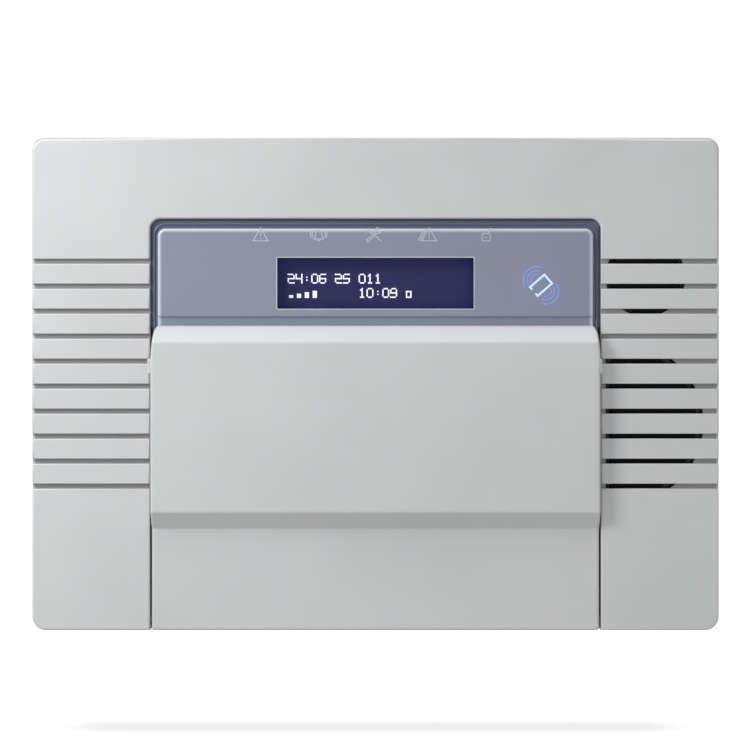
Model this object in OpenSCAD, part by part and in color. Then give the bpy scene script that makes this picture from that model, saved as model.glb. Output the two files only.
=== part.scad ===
// Wall-mounted alarm control panel: a shallow plastic case with a display window, a sounder
// grille and a drop-down flap over the keypad. +Z is up and the front faces -Y. The origin is
// the centre of the back face, on the wall. "Depth" is the distance from the wall, so a
// feature at depth d lies at y = -d. Outlines are drawn as the panel is seen from the front.

/* [Case] */
// Width of the case
case_w = 297; // [294:1:310]
// Height of the case
case_h = 213; // [213:1:220]
// Depth from the wall to the cover's front face
front_d = 48; // [48:0.5:52]
// Depth of the joint between the rear case and the cover
seam_d = 17; // [16:0.5:18]
// Thickness of the moulded walls
wall = 2.5; // [2.5:0.1:2.8]
// Radius of the case's corners, seen from the front
corner_r = 5.5; // [4:0.5:8]

/* [Front opening] */
// Width of the opening for the display and the flap
opening_w = 194.7; // [194.7:0.1:196]
// Distance from the top of the case to the opening
opening_drop = 35.1; // [34:0.1:36]
// Running gap between the flap and the opening, each side
flap_gap = 0.65; // [0.5:0.05:0.8]
// How far the flap's middle stands out of the front face
flap_rise = 7; // [5:0.5:8]
// Height of the display window, from the opening's top to the flap
display_h = 46; // [45:0.5:47]

/* [Grille] */
// Number of grooves on each side
groove_count = 10; // [6:1:10]
// Distance between grooves
groove_pitch = 10.8; // [10:0.1:11]
// Width of a groove
groove_w = 2.1; // [1.6:0.1:2.6]
// Depth of a groove
groove_depth = 2; // [1.2:0.1:2.1]
// Radius of the slotted field in front of the siren
siren_field_r = 34.7; // [28:0.1:35]
// Radius of the slotted field in front of the speaker
speaker_field_r = 17.3; // [12:0.1:18]

/* [Keypad] */
// Width of a key
key_w = 36; // [30:1:38]
// Height of a key
key_h = 11.5; // [9:0.5:13]
// Distance between key columns
key_pitch_x = 44; // [43:0.5:45]
// Distance between key rows
key_pitch_z = 17.8; // [17:0.1:18.5]
// How far the keys stand out of the fascia
key_rise = 2.7; // [1.5:0.1:3]

/* [Wall fixing] */
// Radius of the four wall screw holes
fixing_r = 2.6; // [2:0.1:3]
// Distance between the wall screws across the case
fixing_x = 260; // [256:1:262]
// Distance between the wall screws up the case
fixing_z = 180; // [178:1:182]

/* [Hidden] */
$fn = 48;
eps = 0.01;

half_w = case_w / 2;
top_z = case_h / 2;
bottom_z = -case_h / 2;
lid_back_d = seam_d + 0.7;      // rear edge of the cover's sides and bottom
lid_top_back_d = seam_d + 1.2;  // rear edge of the cover's top, which swings past the case
inner_d = front_d - wall;       // inside of the cover's front wall

// Front opening, flap and display
open_x = opening_w / 2;
open_top = top_z - opening_drop;
flap_x = open_x - flap_gap;
flap_top = open_top - display_h;
flap_front_d = front_d + flap_rise;
flap_t = wall;
bevel_h = 7.4;                  // height of the sloping bands along the flap's top and above its apron
apron_top = bottom_z + 44.1;    // lower end of the raised part, where the flush apron starts
flap_axis = [front_d - 4.7, bottom_z + 4.9];   // [depth, z] of the flap's pivot
flap_pin_r = 1.5;
flap_lip_d = front_d - 9.1;     // rear edge of the lip along the flap's bottom
running_gap = 0.06;

// Module behind the opening: lens, fascia, key mat and keypad board
module_x = open_x + 1.85;
fascia_d = [36, 38.5];
board_d = [29.9, 31.5];
mat_d = [31.5, 32.4];
lens_flange_d = [inner_d - 2.5, inner_d];
lens_front_d = front_d + 0.3;
lens_z = [flap_top - 0.8, open_top + 1.8];
plateau_x = open_x - 3.15;
plateau_z = [flap_top + 3.4, open_top - 4.1];
lcd_z = (plateau_z[0] + plateau_z[1]) / 2 - 4.5;   // middle of the display's window
lcd_window = [43, 11.1];        // half width and half height of the visible area
led_z = plateau_z[1] - 4;
led_pitch = 24.6;
tag_at = [71.8, lcd_z];
fascia_z = [bottom_z + 12.3, flap_top - 1];
trough_z = [bottom_z + wall + 0.2, fascia_z[0] + 2.5];   // recess that the flap's lip turns in
post_at = [for (x = [-103, 103], z = [open_top - 3.4, bottom_z + 50.5]) [x, z]];
key_rows = [for (i = [0:3]) 13 - i * key_pitch_z];
key_columns = [for (i = [0:3]) (i - 1.5) * key_pitch_x];
key_d = [34, fascia_d[1] + key_rise];
key_r = 4;                      // corner radius of a key's cap
key_gap = 0.4;                  // gap round a key in the fascia
key_names = [
    "key_1", "key_2", "key_3", "key_up", "key_4", "key_5", "key_6", "key_down",
    "key_7", "key_8", "key_9", "key_menu", "key_cancel", "key_0", "key_accept", "key_alarm"
];

// Grille and the sounders behind it
groove_top_z = open_top - 18.3;
groove_z = [for (i = [0:groove_count - 1]) groove_top_z - i * groove_pitch];
siren_at = [107.3, -16.9];
siren_r = 34;
siren_post_r = 3.2;
siren_d = [18, 29.4];
siren_ears = [for (a = [-60, 60]) siren_at + 38 * [cos(a), sin(a)]];
speaker_at = [116.9, 46.4];
speaker_d = inner_d - 2.3;      // front of the speaker's rim
speaker_ears = [speaker_at + [0, 21.5], speaker_at - [0, 21.5]];
speaker_post_r = 2.8;
board_post_r = 3.4;             // posts that the keypad board is screwed to
pilot_r = 1.2;                  // bore for a self-tapping screw

// Cover's hinge arms at the top and its two screws at the bottom
arm_x = 100;
arm_w = 4;
arm_r = 2.8;
hinge_axis = [6.5, top_z - 5.5];   // [depth, z]
hinge_pin_r = 1.5;
lid_screw_at = [for (x = [-86, 86]) [x, bottom_z + 22.5]];

// Boards and parts in the rear case
main_board_x = [-94, 64];
main_board_z = [-62, 68];
main_board_d = [8, 9.6];
main_posts = [for (x = [-90, 60], z = [-58, 64]) [x, z]];
radio_board_x = [-142, -104];
radio_board_z = [16, 80];
radio_posts = [[-138.5, 19.5], [-107.5, 76.5]];
block_x = [-86, -46, -6];       // left end of each terminal block
block_w = 38;
block_z = [54.5, 65.5];
block_d = [main_board_d[1], 20.5];
way_pitch = block_w / 8;
cell_r = 7.1;
cell_l = 50;
cell_rows = [bottom_z + 13.8, bottom_z + 28.2];
cell_d = wall + 0.3 + cell_r;
grommets = [[-45, 86, 12], [45, 86, 12], [-122, 4, 8]];   // x, z, radius of the hole in the case
tamper_at = [115, bottom_z + 30.5];
tamper_press_d = 20.5;          // depth at which the cover's post holds the plunger

// ---- Shared shapes ----

// The range [c - h, c + h].
function span(c, h) = [c - h, c + h];

// A front-view outline, extruded from depth d[0] to depth d[1].
module plate(d)
    rotate([90, 0, 0]) translate([0, 0, d[0]]) linear_extrude(d[1] - d[0]) children();

// A side-view outline in (y, z), extruded from x[0] to x[1].
module along_x(x)
    translate([x[0], 0, 0]) rotate([90, 0, 90]) linear_extrude(x[1] - x[0]) children();

module block(x, z, d)
    translate([x[0], -d[1], z[0]]) cube([x[1] - x[0], d[1] - d[0], z[1] - z[0]]);

module disc(at, r, d)
    plate(d) translate(at) circle(r);

module tapered_disc(at, r0, r1, d)
    translate([at[0], -d[0], at[1]]) rotate([90, 0, 0]) cylinder(h = d[1] - d[0], r1 = r0, r2 = r1);

module rounded(x, z, r) {
    translate([x[0] + r, z[0]]) square([x[1] - x[0] - 2 * r, z[1] - z[0]]);
    translate([x[0], z[0] + r]) square([x[1] - x[0], z[1] - z[0] - 2 * r]);
    for (cx = [x[0] + r, x[1] - r], cz = [z[0] + r, z[1] - r]) translate([cx, cz]) circle(r);
}

// A pan-head screw that goes in from the back of the cover or from the front of the case:
// the shank runs from depth tip_d to head_d, and the head stands on head_d.
module screw(at, tip_d, head_d, shank_r, head_r, head_h) {
    s = sign(head_d - tip_d);
    disc(at, shank_r, [min(tip_d, head_d), max(tip_d, head_d)]);
    difference() {
        disc(at, head_r, [min(head_d, head_d + s * head_h), max(head_d, head_d + s * head_h)]);
        for (a = [0, 90]) {
            plate([min(head_d + s * head_h / 2, head_d + 2 * s * head_h),
                   max(head_d + s * head_h / 2, head_d + 2 * s * head_h)])
                translate(at) rotate(a + 45) square([head_r * 1.1, head_r * 0.28], center = true);
        }
    }
}

function unit(v) = v / norm(v);
function tangent(p, i) = unit(p[min(i + 1, len(p) - 1)] - p[max(i - 1, 0)]);

// A smooth curve through hand-chosen points, with a few steps between each pair.
function curve(p, steps) = [
    for (i = [0:len(p) - 2], k = [0:steps - 1])
        let (t = k / steps, a = p[max(i - 1, 0)], b = p[i], c = p[i + 1], e = p[min(i + 2, len(p) - 1)])
            0.5 * (2 * b + (c - a) * t + (2 * a - 5 * b + 4 * c - e) * t * t
                   + (3 * b - a - 3 * c + e) * t * t * t),
    p[len(p) - 1]
];

// A round tube of radius r swept along the points p. ref is a direction that p never runs along.
module tube(p, r, ref, sides = 8) {
    n = len(p);
    points = [
        for (i = [0:n - 1])
            let (t = tangent(p, i), a = unit(cross(t, ref)), b = cross(t, a))
                for (k = [0:sides - 1])
                    p[i] + r * (cos(360 * k / sides) * a + sin(360 * k / sides) * b)
    ];
    ends = [
        [for (k = [0:sides - 1]) k],
        [for (k = [sides - 1:-1:0]) (n - 1) * sides + k]
    ];
    sides_faces = [
        for (i = [0:n - 2], k = [0:sides - 1], half = [0, 1])
            let (a = i * sides + k, b = i * sides + (k + 1) % sides, c = b + sides, e = a + sides)
                half == 0 ? [a, c, b] : [a, e, c]
    ];
    polyhedron(points, concat(ends, sides_faces));
}

// ---- Rear case and what is fixed in it ----

module case_outline(inset = 0)
    rounded([-half_w + inset, half_w - inset], [bottom_z + inset, top_z - inset], corner_r - inset);

module rim_tongue() {
    // A low lip inside the rim, which the cover's sides and bottom close over.
    lip_t = 1.6;
    lip_d = [seam_d - 5, seam_d + 2.5];
    inset = wall + 0.25;
    for (s = [-1, 1]) {
        x = s * (half_w - inset - lip_t / 2);
        block([x - lip_t / 2, x + lip_t / 2], [bottom_z + 12, top_z - 22], lip_d);
        root = s * (half_w - wall / 2 - lip_t / 2);
        block([root - 1.6, root + 1.6], [bottom_z + 12, top_z - 22], [seam_d - 5, seam_d]);
    }
    block([-60, 60], [bottom_z + inset, bottom_z + inset + lip_t], lip_d);
    block([-60, 60], [bottom_z + wall - 1, bottom_z + inset + lip_t], [seam_d - 5, seam_d]);
}

module hinge_ears()
    for (s = [-1, 1], side = [-1, 1]) {
        x = s * arm_x + side * (arm_w / 2 + 2);
        block([x - 1.5, x + 1.5], [hinge_axis[1] - 3.6, top_z - wall + eps], [wall - eps, 10.4]);
    }

module rear_case() color("gainsboro") {
    difference() {
        union() {
            difference() {
                plate([0, seam_d]) case_outline();
                plate([wall, seam_d + 1]) case_outline(wall);
            }
            rim_tongue();
            hinge_ears();
            for (at = main_posts) disc(at, 3.4, [wall - eps, main_board_d[0]]);
            for (at = radio_posts) disc(at, 3, [wall - eps, main_board_d[0]]);
            for (at = lid_screw_at) disc(at, 5.5, [wall - eps, seam_d]);
            for (x = [-fixing_x, fixing_x] / 2, z = [-fixing_z, fixing_z] / 2)
                disc([x, z], 7, [wall - eps, wall + 1.5]);
            // Ribs that hold the battery in place, at both ends and along its top.
            for (s = [-1, 1])
                block(span(s * 77.4, 0.9), [cell_rows[0] - 7, cell_rows[1] + 7], [wall - eps, 12]);
            for (x = [-52, 30]) block([x, x + 22], [cell_rows[1] + 7.8, cell_rows[1] + 9.4], [wall - eps, 9]);
        }
        // Slots in the top wall, which let the cover's hinge arms swing out.
        for (s = [-1, 1])
            block([s * arm_x - 2.5, s * arm_x + 2.5], [top_z - wall - 1, top_z + 1], [3.2, seam_d + 1]);
        for (s = [-1, 1])
            translate([s * arm_x - 10, -hinge_axis[0], hinge_axis[1]]) rotate([0, 90, 0])
                cylinder(h = 20, r = hinge_pin_r);
        for (at = main_posts) disc(at, 1.3, [wall, main_board_d[0] + 1]);
        for (at = radio_posts) disc(at, 1.3, [wall, main_board_d[0] + 1]);
        for (at = lid_screw_at) disc(at, 3.2, [wall + 1, seam_d + 1]);
        for (x = [-fixing_x, fixing_x] / 2, z = [-fixing_z, fixing_z] / 2)
            disc([x, z], fixing_r, [-1, wall + 3]);
        for (g = grommets) disc([g[0], g[1]], g[2], [-1, wall + 1]);
        // Keyhole for hanging the case on one screw while the others are marked out.
        plate([-1, wall + 1]) {
            translate([0, 84]) circle(4.6);
            translate([-2.3, 84]) square([4.6, 9]);
            translate([0, 93]) circle(2.3);
        }
    }
}

module cable_grommets() color([0.12, 0.12, 0.13])
    for (g = grommets) difference() {
        union() {
            disc([g[0], g[1]], g[2], [0, wall]);
            disc([g[0], g[1]], g[2] + 2, [wall, wall + 2.5]);
        }
        disc([g[0], g[1]], g[2] - 3, [-1, wall + 4]);
    }

module threaded_inserts() color("goldenrod")
    for (at = lid_screw_at) difference() {
        disc(at, 3.2, [wall + 4, seam_d]);
        disc(at, 2.2, [wall + 3, seam_d + 1]);
    }

module hinge_pins() color("silver")
    for (s = [-1, 1])
        translate([s * arm_x - 5.5, -hinge_axis[0], hinge_axis[1]]) rotate([0, 90, 0])
            cylinder(h = 11, r = hinge_pin_r);

module main_board() color([0.07, 0.35, 0.2])
    difference() {
        plate(main_board_d) rounded(main_board_x, main_board_z, 1.5);
        for (at = main_posts) disc(at, 1.7, [main_board_d[0] - 1, main_board_d[1] + 1]);
    }

module board_screws() color("silver") {
    for (at = main_posts) screw(at, main_board_d[0] - 4.5, main_board_d[1], 1.25, 2.8, 1.8);
    for (at = radio_posts) screw(at, main_board_d[0] - 4.5, main_board_d[1], 1.25, 2.8, 1.8);
}

module terminal_blocks() color([0.1, 0.45, 0.25])
    for (x0 = block_x) difference() {
        block([x0, x0 + block_w], block_z, block_d);
        for (i = [0:7]) {
            x = x0 + (i + 0.5) * way_pitch;
            block([x - 1.5, x + 1.5], [block_z[1] - 6, block_z[1] + 1], [11.4, 15]);
            disc([x, block_z[1] - 4.2], 1.75, [17, block_d[1] + 1]);
        }
    }

module terminal_screws() color("silver")
    for (x0 = block_x, i = [0:7]) difference() {
        disc([x0 + (i + 0.5) * way_pitch, block_z[1] - 4.2], 1.65, [17, 19.6]);
        plate([18.8, 20]) translate([x0 + (i + 0.5) * way_pitch, block_z[1] - 4.2])
            square([3, 0.5], center = true);
    }

module microchips() color([0.1, 0.1, 0.11]) {
    chip_base = main_board_d[1];
    block([-34, -18], [-18, -2], [chip_base, chip_base + 1.6]);
    block([-60, -50], [6, 24], [chip_base, chip_base + 2]);
    block([-8, 0], [12, 24], [chip_base, chip_base + 1.8]);
    for (x = [-70, -52, -34, -16, 2]) block([x, x + 6], [36, 40.2], [chip_base, chip_base + 1.6]);
    block([10, 20], [-44, -34], [chip_base, chip_base + 1.6]);
    block([radio_board_x[0] + 8, radio_board_x[0] + 16], [66, 74], [chip_base, chip_base + 1.4]);
}

module relays() color([0.12, 0.2, 0.5])
    for (z = [-8, 12]) block([36, 55], [z, z + 15.5], [main_board_d[1], main_board_d[1] + 15]);

module capacitors() color([0.15, 0.15, 0.2]) {
    for (at = [[-82, -46], [-66, -46]]) disc(at, 6.3, [main_board_d[1], main_board_d[1] + 16]);
    for (at = [[-50, -48], [-84, -28], [-72, -28]]) disc(at, 4, [main_board_d[1], main_board_d[1] + 11]);
}

module pin_headers() color([0.08, 0.08, 0.09]) {
    // A shrouded header for the ribbon cable, then small headers for the battery and the radio.
    difference() {
        block([36, 57], [50.5, 59.5], [main_board_d[1], main_board_d[1] + 8.9]);
        block([37.5, 55.5], [52, 58], [main_board_d[1] + 2, main_board_d[1] + 10]);
    }
    difference() {
        block([46, 56], [-57, -50], [main_board_d[1], main_board_d[1] + 7]);
        block([47.2, 54.8], [-55.8, -51.2], [main_board_d[1] + 1.5, main_board_d[1] + 8]);
    }
    block([-92, -89.5], [20, 40], [main_board_d[1], main_board_d[1] + 6]);
}

transformer_x = [-143.5, -108.5];
transformer_z = [-76, -44];
leg_x = [-131.5, -120.5];      // centre leg, which the winding is wound on
window_d = [9, 31];

module transformer_core() color([0.3, 0.3, 0.32])
    difference() {
        block(transformer_x, transformer_z, [wall, 37]);
        for (x = [[-138.2, leg_x[0]], [leg_x[1], -113.8]])
            block(x, transformer_z + [-1, 1], window_d);
    }

module transformer_winding() color([0.75, 0.45, 0.15])
    difference() {
        plate(window_d + [0.2, -0.2]) rounded([-138, -114], transformer_z + [-7, 7], 3);
        block(leg_x + [-0.2, 0.2], transformer_z + [-0.3, 0.3], window_d + [-1, 1]);
    }

mains_x = [-141, -105];
mains_z = [-31, -9];

module mains_terminal() color([0.9, 0.9, 0.88])
    difference() {
        block(mains_x, mains_z, [wall, 17]);
        for (i = [0:2]) {
            x = mains_x[0] + 6 + i * 12;
            block([x - 2.2, x + 2.2], [mains_z[1] - 8, mains_z[1] + 1], [5, 9.5]);
            disc([x, mains_z[1] - 5], 2.4, [11, 18]);
        }
    }

module mains_fuse() color("silver") {
    // A 20 mm glass fuse along X, held between two spring clips.
    z = mains_z[0] + 6.5;
    translate([-133, -21, z]) rotate([0, 90, 0]) cylinder(h = 20, r = 2.6);
    for (x = [-131.5, -117.5]) difference() {
        block([x, x + 3], [z - 3.6, z + 3.6], [17, 22.5]);
        translate([x - 1, -21, z]) rotate([0, 90, 0]) cylinder(h = 5, r = 2.6);
        block([x - 1, x + 4], [z - 1.8, z + 1.8], [21, 24]);
    }
}

module battery_cells() color([0.1, 0.45, 0.3])
    for (z = cell_rows, i = [-1:1])
        translate([i * (cell_l + 0.3) - cell_l / 2, -cell_d, z]) rotate([0, 90, 0]) {
            cylinder(h = cell_l - 1.2, r = cell_r);
            cylinder(h = cell_l, r = 2.8);
        }

module battery_strap() color([0.85, 0.85, 0.87]) {
    z = [cell_rows[0] - cell_r - 1.9, cell_rows[1] + cell_r + 1.9];
    strap_top = cell_d + cell_r + 0.3;
    difference() {
        block([-8, 8], z, [wall, strap_top + 1.5]);
        block([-9, 9], z + [1.4, -1.4], [wall - 1, strap_top]);
    }
}

// [x, y, z] points of the lead from the battery to its header.
battery_route = [
    [77, -14.6, -79], [78, -15.4, -76], [76, -15.5, -69], [66, -15, -65], [58, -16.5, -62], [53, -19, -58],
    [51, -19, -55], [51, -15.5, -53.5], [51, -12.4, -53.5]
];

module battery_lead() color([0.7, 0.1, 0.1])
    tube(curve(battery_route, 4), 1.5, [0.2, 0.3, 1]);

module radio_board() color([0.07, 0.35, 0.2])
    difference() {
        plate(main_board_d) rounded(radio_board_x, radio_board_z, 1.2);
        for (at = radio_posts) disc(at, 1.7, [main_board_d[0] - 1, main_board_d[1] + 1]);
    }

module radio_shield() color("silver")
    difference() {
        block([-137, -111], [38, 64], [main_board_d[1], main_board_d[1] + 3.8]);
        block([-136.6, -111.4], [38.4, 63.6], [main_board_d[1] - 1, main_board_d[1] + 3.4]);
    }

// A quarter-wave wire that leaves the radio board and runs along the top of the case.
antenna_route = [[-116, -9.8, 74], [-116, -12.4, 74.4], [-115, -14, 80], [-110, -14, 88], [-102, -14, 92],
                 [-90, -14, 93], [-70, -14, 93], [-36, -14, 93]];

module antenna() color([0.85, 0.75, 0.3])
    tube(curve(antenna_route, 3), 0.8, [0.1, 0.2, -1]);

module tamper_switch() color([0.15, 0.15, 0.16])
    difference() {
        block([tamper_at[0] - 7, tamper_at[0] + 7], [tamper_at[1] - 6, tamper_at[1] + 6], [wall, 14.5]);
        disc(tamper_at, 2.2, [6, 16]);
    }

module tamper_plunger() color([0.9, 0.3, 0.2]) {
    disc(tamper_at, 2, [8.5, tamper_press_d]);
    disc(tamper_at, 4.4, [tamper_press_d - 1.5, tamper_press_d]);
}

spring_turns = 4;
spring_d = [15, tamper_press_d - 2];

module tamper_spring() color("silver")
    tube([
        for (i = [0:spring_turns * 12])
            let (a = i * 30, d = spring_d[0] + (spring_d[1] - spring_d[0]) * i / (spring_turns * 12))
                [tamper_at[0] + 3.2 * cos(a), -d, tamper_at[1] + 3.2 * sin(a)]
    ], 0.32, [0, 1, 0.02], 6);

// Side view of the flat cable: out of the case's header, up, over and down to the keypad board.
ribbon_x = [37.6, 55.4];
ribbon_t = 0.9;

module ribbon_cable() color([0.65, 0.66, 0.7])
    along_x(ribbon_x) {
        translate([-23.4, 54.6]) square([11.3, ribbon_t]);
        translate([-23.4, 54.6]) square([ribbon_t, 32.5]);
        difference() {
            translate([-24.75, 87]) circle(2.25);
            translate([-24.75, 87]) circle(2.25 - ribbon_t);
            translate([-28, 84]) square([8, 3]);
        }
        translate([-27, 61.2]) square([ribbon_t, 25.9]);
    }

// ---- Cover and what is fixed to it ----

module opening_outline() {
    // The front opening: round top corners, and open at the case's bottom edge.
    r = 4.5;
    translate([-open_x, bottom_z - 1]) square([2 * open_x, open_top - bottom_z + 1 - r]);
    translate([-open_x + r, bottom_z - 1]) square([2 * open_x - 2 * r, open_top - bottom_z + 1]);
    for (s = [-1, 1]) translate([s * (open_x - r), open_top - r]) circle(r);
}

module grooves()
    for (s = [-1, 1], z = groove_z)
        block(s < 0 ? [-half_w - 1, -open_x + 1] : [open_x - 1, half_w + 1],
              [z - groove_w / 2, z + groove_w / 2], [front_d - groove_depth, front_d + 1]);

module groove_backs()
    for (s = [-1, 1], z = groove_z)
        block(s < 0 ? [-half_w + wall - 1, -module_x - 0.3] : [module_x + 0.3, half_w - wall + 1],
              [z - groove_w / 2 - 1.6, z + groove_w / 2 + 1.6], [inner_d - 2, inner_d + 1]);

// The grooves are cut right through inside two round fields, in front of the siren and the speaker.
module sounder_slots()
    plate([inner_d - 3, front_d + 1]) intersection() {
        for (z = groove_z)
            translate([open_x + 2.2, z - groove_w / 2]) square([half_w - open_x, groove_w]);
        union() {
            translate(siren_at) circle(siren_field_r);
            translate(speaker_at) circle(speaker_field_r);
        }
    }

module hinge_arms()
    for (s = [-1, 1]) along_x([s * arm_x - arm_w / 2, s * arm_x + arm_w / 2]) difference() {
        union() {
            translate([-hinge_axis[0], hinge_axis[1]]) circle(arm_r);
            translate([-26, hinge_axis[1] - arm_r]) square([26 - hinge_axis[0], 2 * arm_r]);
            translate([-26, hinge_axis[1] - arm_r]) square([26 - lid_top_back_d, 2 * arm_r + 1]);
        }
        translate([-hinge_axis[0], hinge_axis[1]]) circle(hinge_pin_r + running_gap);
    }

module front_cover() color("whitesmoke") {
    difference() {
        union() {
            difference() {
                plate([lid_back_d, front_d]) case_outline();
                plate([lid_back_d - 1, inner_d]) case_outline(wall);
                block([-half_w - 1, half_w + 1], [top_z - 8.5, top_z + 1], [0, lid_top_back_d]);
            }
            groove_backs();
            // Side walls of the keypad recess, which also carry the flap's pivots.
            for (s = [-1, 1])
                block([s * (open_x + 1) - 1, s * (open_x + 1) + 1], [bottom_z + 1, fascia_z[1]],
                      [fascia_d[1] + 0.1, inner_d + 1]);
            for (at = post_at) disc(at, board_post_r, [board_d[1], inner_d + 1]);
            for (at = siren_ears) disc(at, siren_post_r, [siren_d[1], inner_d + 1]);
            for (at = speaker_ears) disc(at, speaker_post_r, [speaker_d, inner_d + 1]);
            disc(tamper_at, 3.4, [tamper_press_d, inner_d + 1]);
        }
        plate([inner_d - 1, front_d + 2]) intersection() {
            opening_outline();
            translate([-open_x, fascia_z[1]]) square([2 * open_x, case_h]);
        }
        plate([fascia_d[1], front_d + 2]) intersection() {
            opening_outline();
            translate([-open_x, bottom_z - 2]) square([2 * open_x, fascia_z[1] - bottom_z + 2]);
        }
        block([-open_x, open_x], [bottom_z - 1, bottom_z + wall + 0.1], [36.5, front_d + 1]);
        grooves();
        sounder_slots();
        for (s = [-1, 1])
            translate([s * (open_x + 1) - 2, -flap_axis[0], flap_axis[1]]) rotate([0, 90, 0])
                cylinder(h = 4, r = flap_pin_r + running_gap);
        for (at = post_at) disc(at, pilot_r, [board_d[1] - 1, board_d[1] + 8]);
        for (at = siren_ears) disc(at, pilot_r, [siren_d[1] - 1, siren_d[1] + 8]);
        for (at = speaker_ears) disc(at, pilot_r, [speaker_d - 1, inner_d + 1]);
    }
    hinge_arms();
}

module display_lens() color([0.6, 0.62, 0.72, 0.8])
    difference() {
        union() {
            plate(lens_flange_d) rounded([-module_x, module_x], lens_z, 2);
            plate([inner_d - 0.1, lens_front_d]) rounded([-plateau_x, plateau_x], plateau_z, 3.4);
            plate([board_d[1], inner_d - 0.1]) difference() {
                rounded([-module_x, module_x], lens_z, 2);
                rounded([-module_x + 2, module_x - 2], lens_z + [2, -2], 1);
            }
        }
        plate([inner_d - 4, lens_front_d - 2.4])
            rounded([-plateau_x + 2.2, plateau_x - 2.2], plateau_z + [2.2, -2.2], 2);
    }

module keypad_fascia() color("white")
    difference() {
        union() {
            plate(fascia_d) rounded([-module_x, module_x], fascia_z, 1.5);
            for (s = [-1, 1])
                block([s * (module_x - 1) - 1, s * (module_x - 1) + 1], fascia_z + [2, -2],
                      [board_d[1], fascia_d[1] - 1]);
            block([-module_x + 2, module_x - 2], [-61.5, -60], [board_d[0], fascia_d[0] + 1]);
            block([-module_x, module_x], trough_z, fascia_d - [2.5, 2.5]);
            for (at = lid_screw_at) disc(at, 5, [seam_d + 1, fascia_d[0] + 1]);
        }
        for (x = key_columns, z = key_rows)
            plate([fascia_d[0] - 1, fascia_d[1] + 1])
                rounded(span(x, key_w / 2 + key_gap), span(z, key_h / 2 + key_gap), key_r + key_gap);
        for (at = lid_screw_at) {
            disc(at, 2.2, [seam_d, fascia_d[1] + 1]);
            disc(at, 4, [34, fascia_d[1] + 1]);
        }
    }

module key_mat() color([0.2, 0.2, 0.22])
    plate(mat_d) rounded([-90, 90], [-52, 22], 3);

module keypad_board() color([0.07, 0.35, 0.2]) {
    difference() {
        plate(board_d) {
            rounded([-96, 96], [-58.8, 71.5], 1.5);
            for (z = [post_at[0][1], post_at[1][1]])
                rounded([-107.2, 107.2], [z - 3.6, z + 3.6], 1.5);
        }
        for (at = post_at) disc(at, 1.6, [board_d[0] - 1, board_d[1] + 1]);
    }
    // The socket that the flat cable plugs into, on the board's back.
    difference() {
        block([36, 57], [59.5, 63.8], [board_d[0] - 5, board_d[0] + eps]);
        block([37.2, 55.8], [61, 65], [board_d[0] - 4.1, board_d[0] - 2.6]);
    }
}

module lcd_backlight() color("white")
    block([-46.5, 46.5], [lcd_z - 13, lcd_z + 13], [board_d[1], 38.4]);

module lcd_glass() color([0.15, 0.14, 0.32])
    block([-46, 46], [lcd_z - 12.8, lcd_z + 12.8], [38.5, 41.2]);

module lcd_frame() color([0.25, 0.25, 0.27])
    difference() {
        plate([board_d[1], 42]) rounded([-48, 48], [lcd_z - 14.2, lcd_z + 14.2], 0.8);
        block([-47, 47], [lcd_z - 13.3, lcd_z + 13.3], [board_d[1] - 1, 41.3]);
        block([-lcd_window[0], lcd_window[0]], [lcd_z - lcd_window[1], lcd_z + lcd_window[1]], [41, 43]);
    }

module status_leds() color("white") {
    for (i = [-2:2]) disc([i * led_pitch, led_z], 1.5, [board_d[1], lens_front_d - 2.6]);
    disc(tag_at, 1.5, [board_d[1], lens_front_d - 2.6]);
}

module tag_coil() color([0.75, 0.4, 0.15])
    plate([board_d[1], board_d[1] + 2.4]) difference() {
        rounded(span(tag_at[0], 17), span(tag_at[1], 14.5), 5);
        rounded(span(tag_at[0], 14), span(tag_at[1], 11.5), 3);
    }

module speaker_basket() color([0.3, 0.3, 0.32]) {
    difference() {
        union() {
            disc(speaker_at, 17.4, [speaker_d - 2.2, speaker_d]);
            for (at = speaker_ears) disc(at, 3.4, [speaker_d - 2.2, speaker_d]);
            block(span(speaker_at[0], 2.5), span(speaker_at[1], 21.5), [speaker_d - 2.2, speaker_d]);
            tapered_disc(speaker_at, 11, 16.5, [speaker_d - 8, speaker_d - 2.1]);
        }
        disc(speaker_at, 15.6, [speaker_d - 1.6, speaker_d + 1]);
        tapered_disc(speaker_at, 9.4, 14.9, [speaker_d - 7, speaker_d - 1.5]);
        for (at = speaker_ears) disc(at, 1.5, [speaker_d - 3, speaker_d + 1]);
    }
    disc(speaker_at, 9, [speaker_d - 13, speaker_d - 7.99]);
}

module speaker_cone() color([0.12, 0.12, 0.13])
    difference() {
        union() {
            disc(speaker_at, 15.4, [speaker_d - 1.6, speaker_d - 1]);
            tapered_disc(speaker_at, 5, 13.4, [speaker_d - 5.4, speaker_d - 1.5]);
        }
        tapered_disc(speaker_at, 4.4, 13.4, [speaker_d - 4.8, speaker_d - 0.7]);
    }

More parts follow.
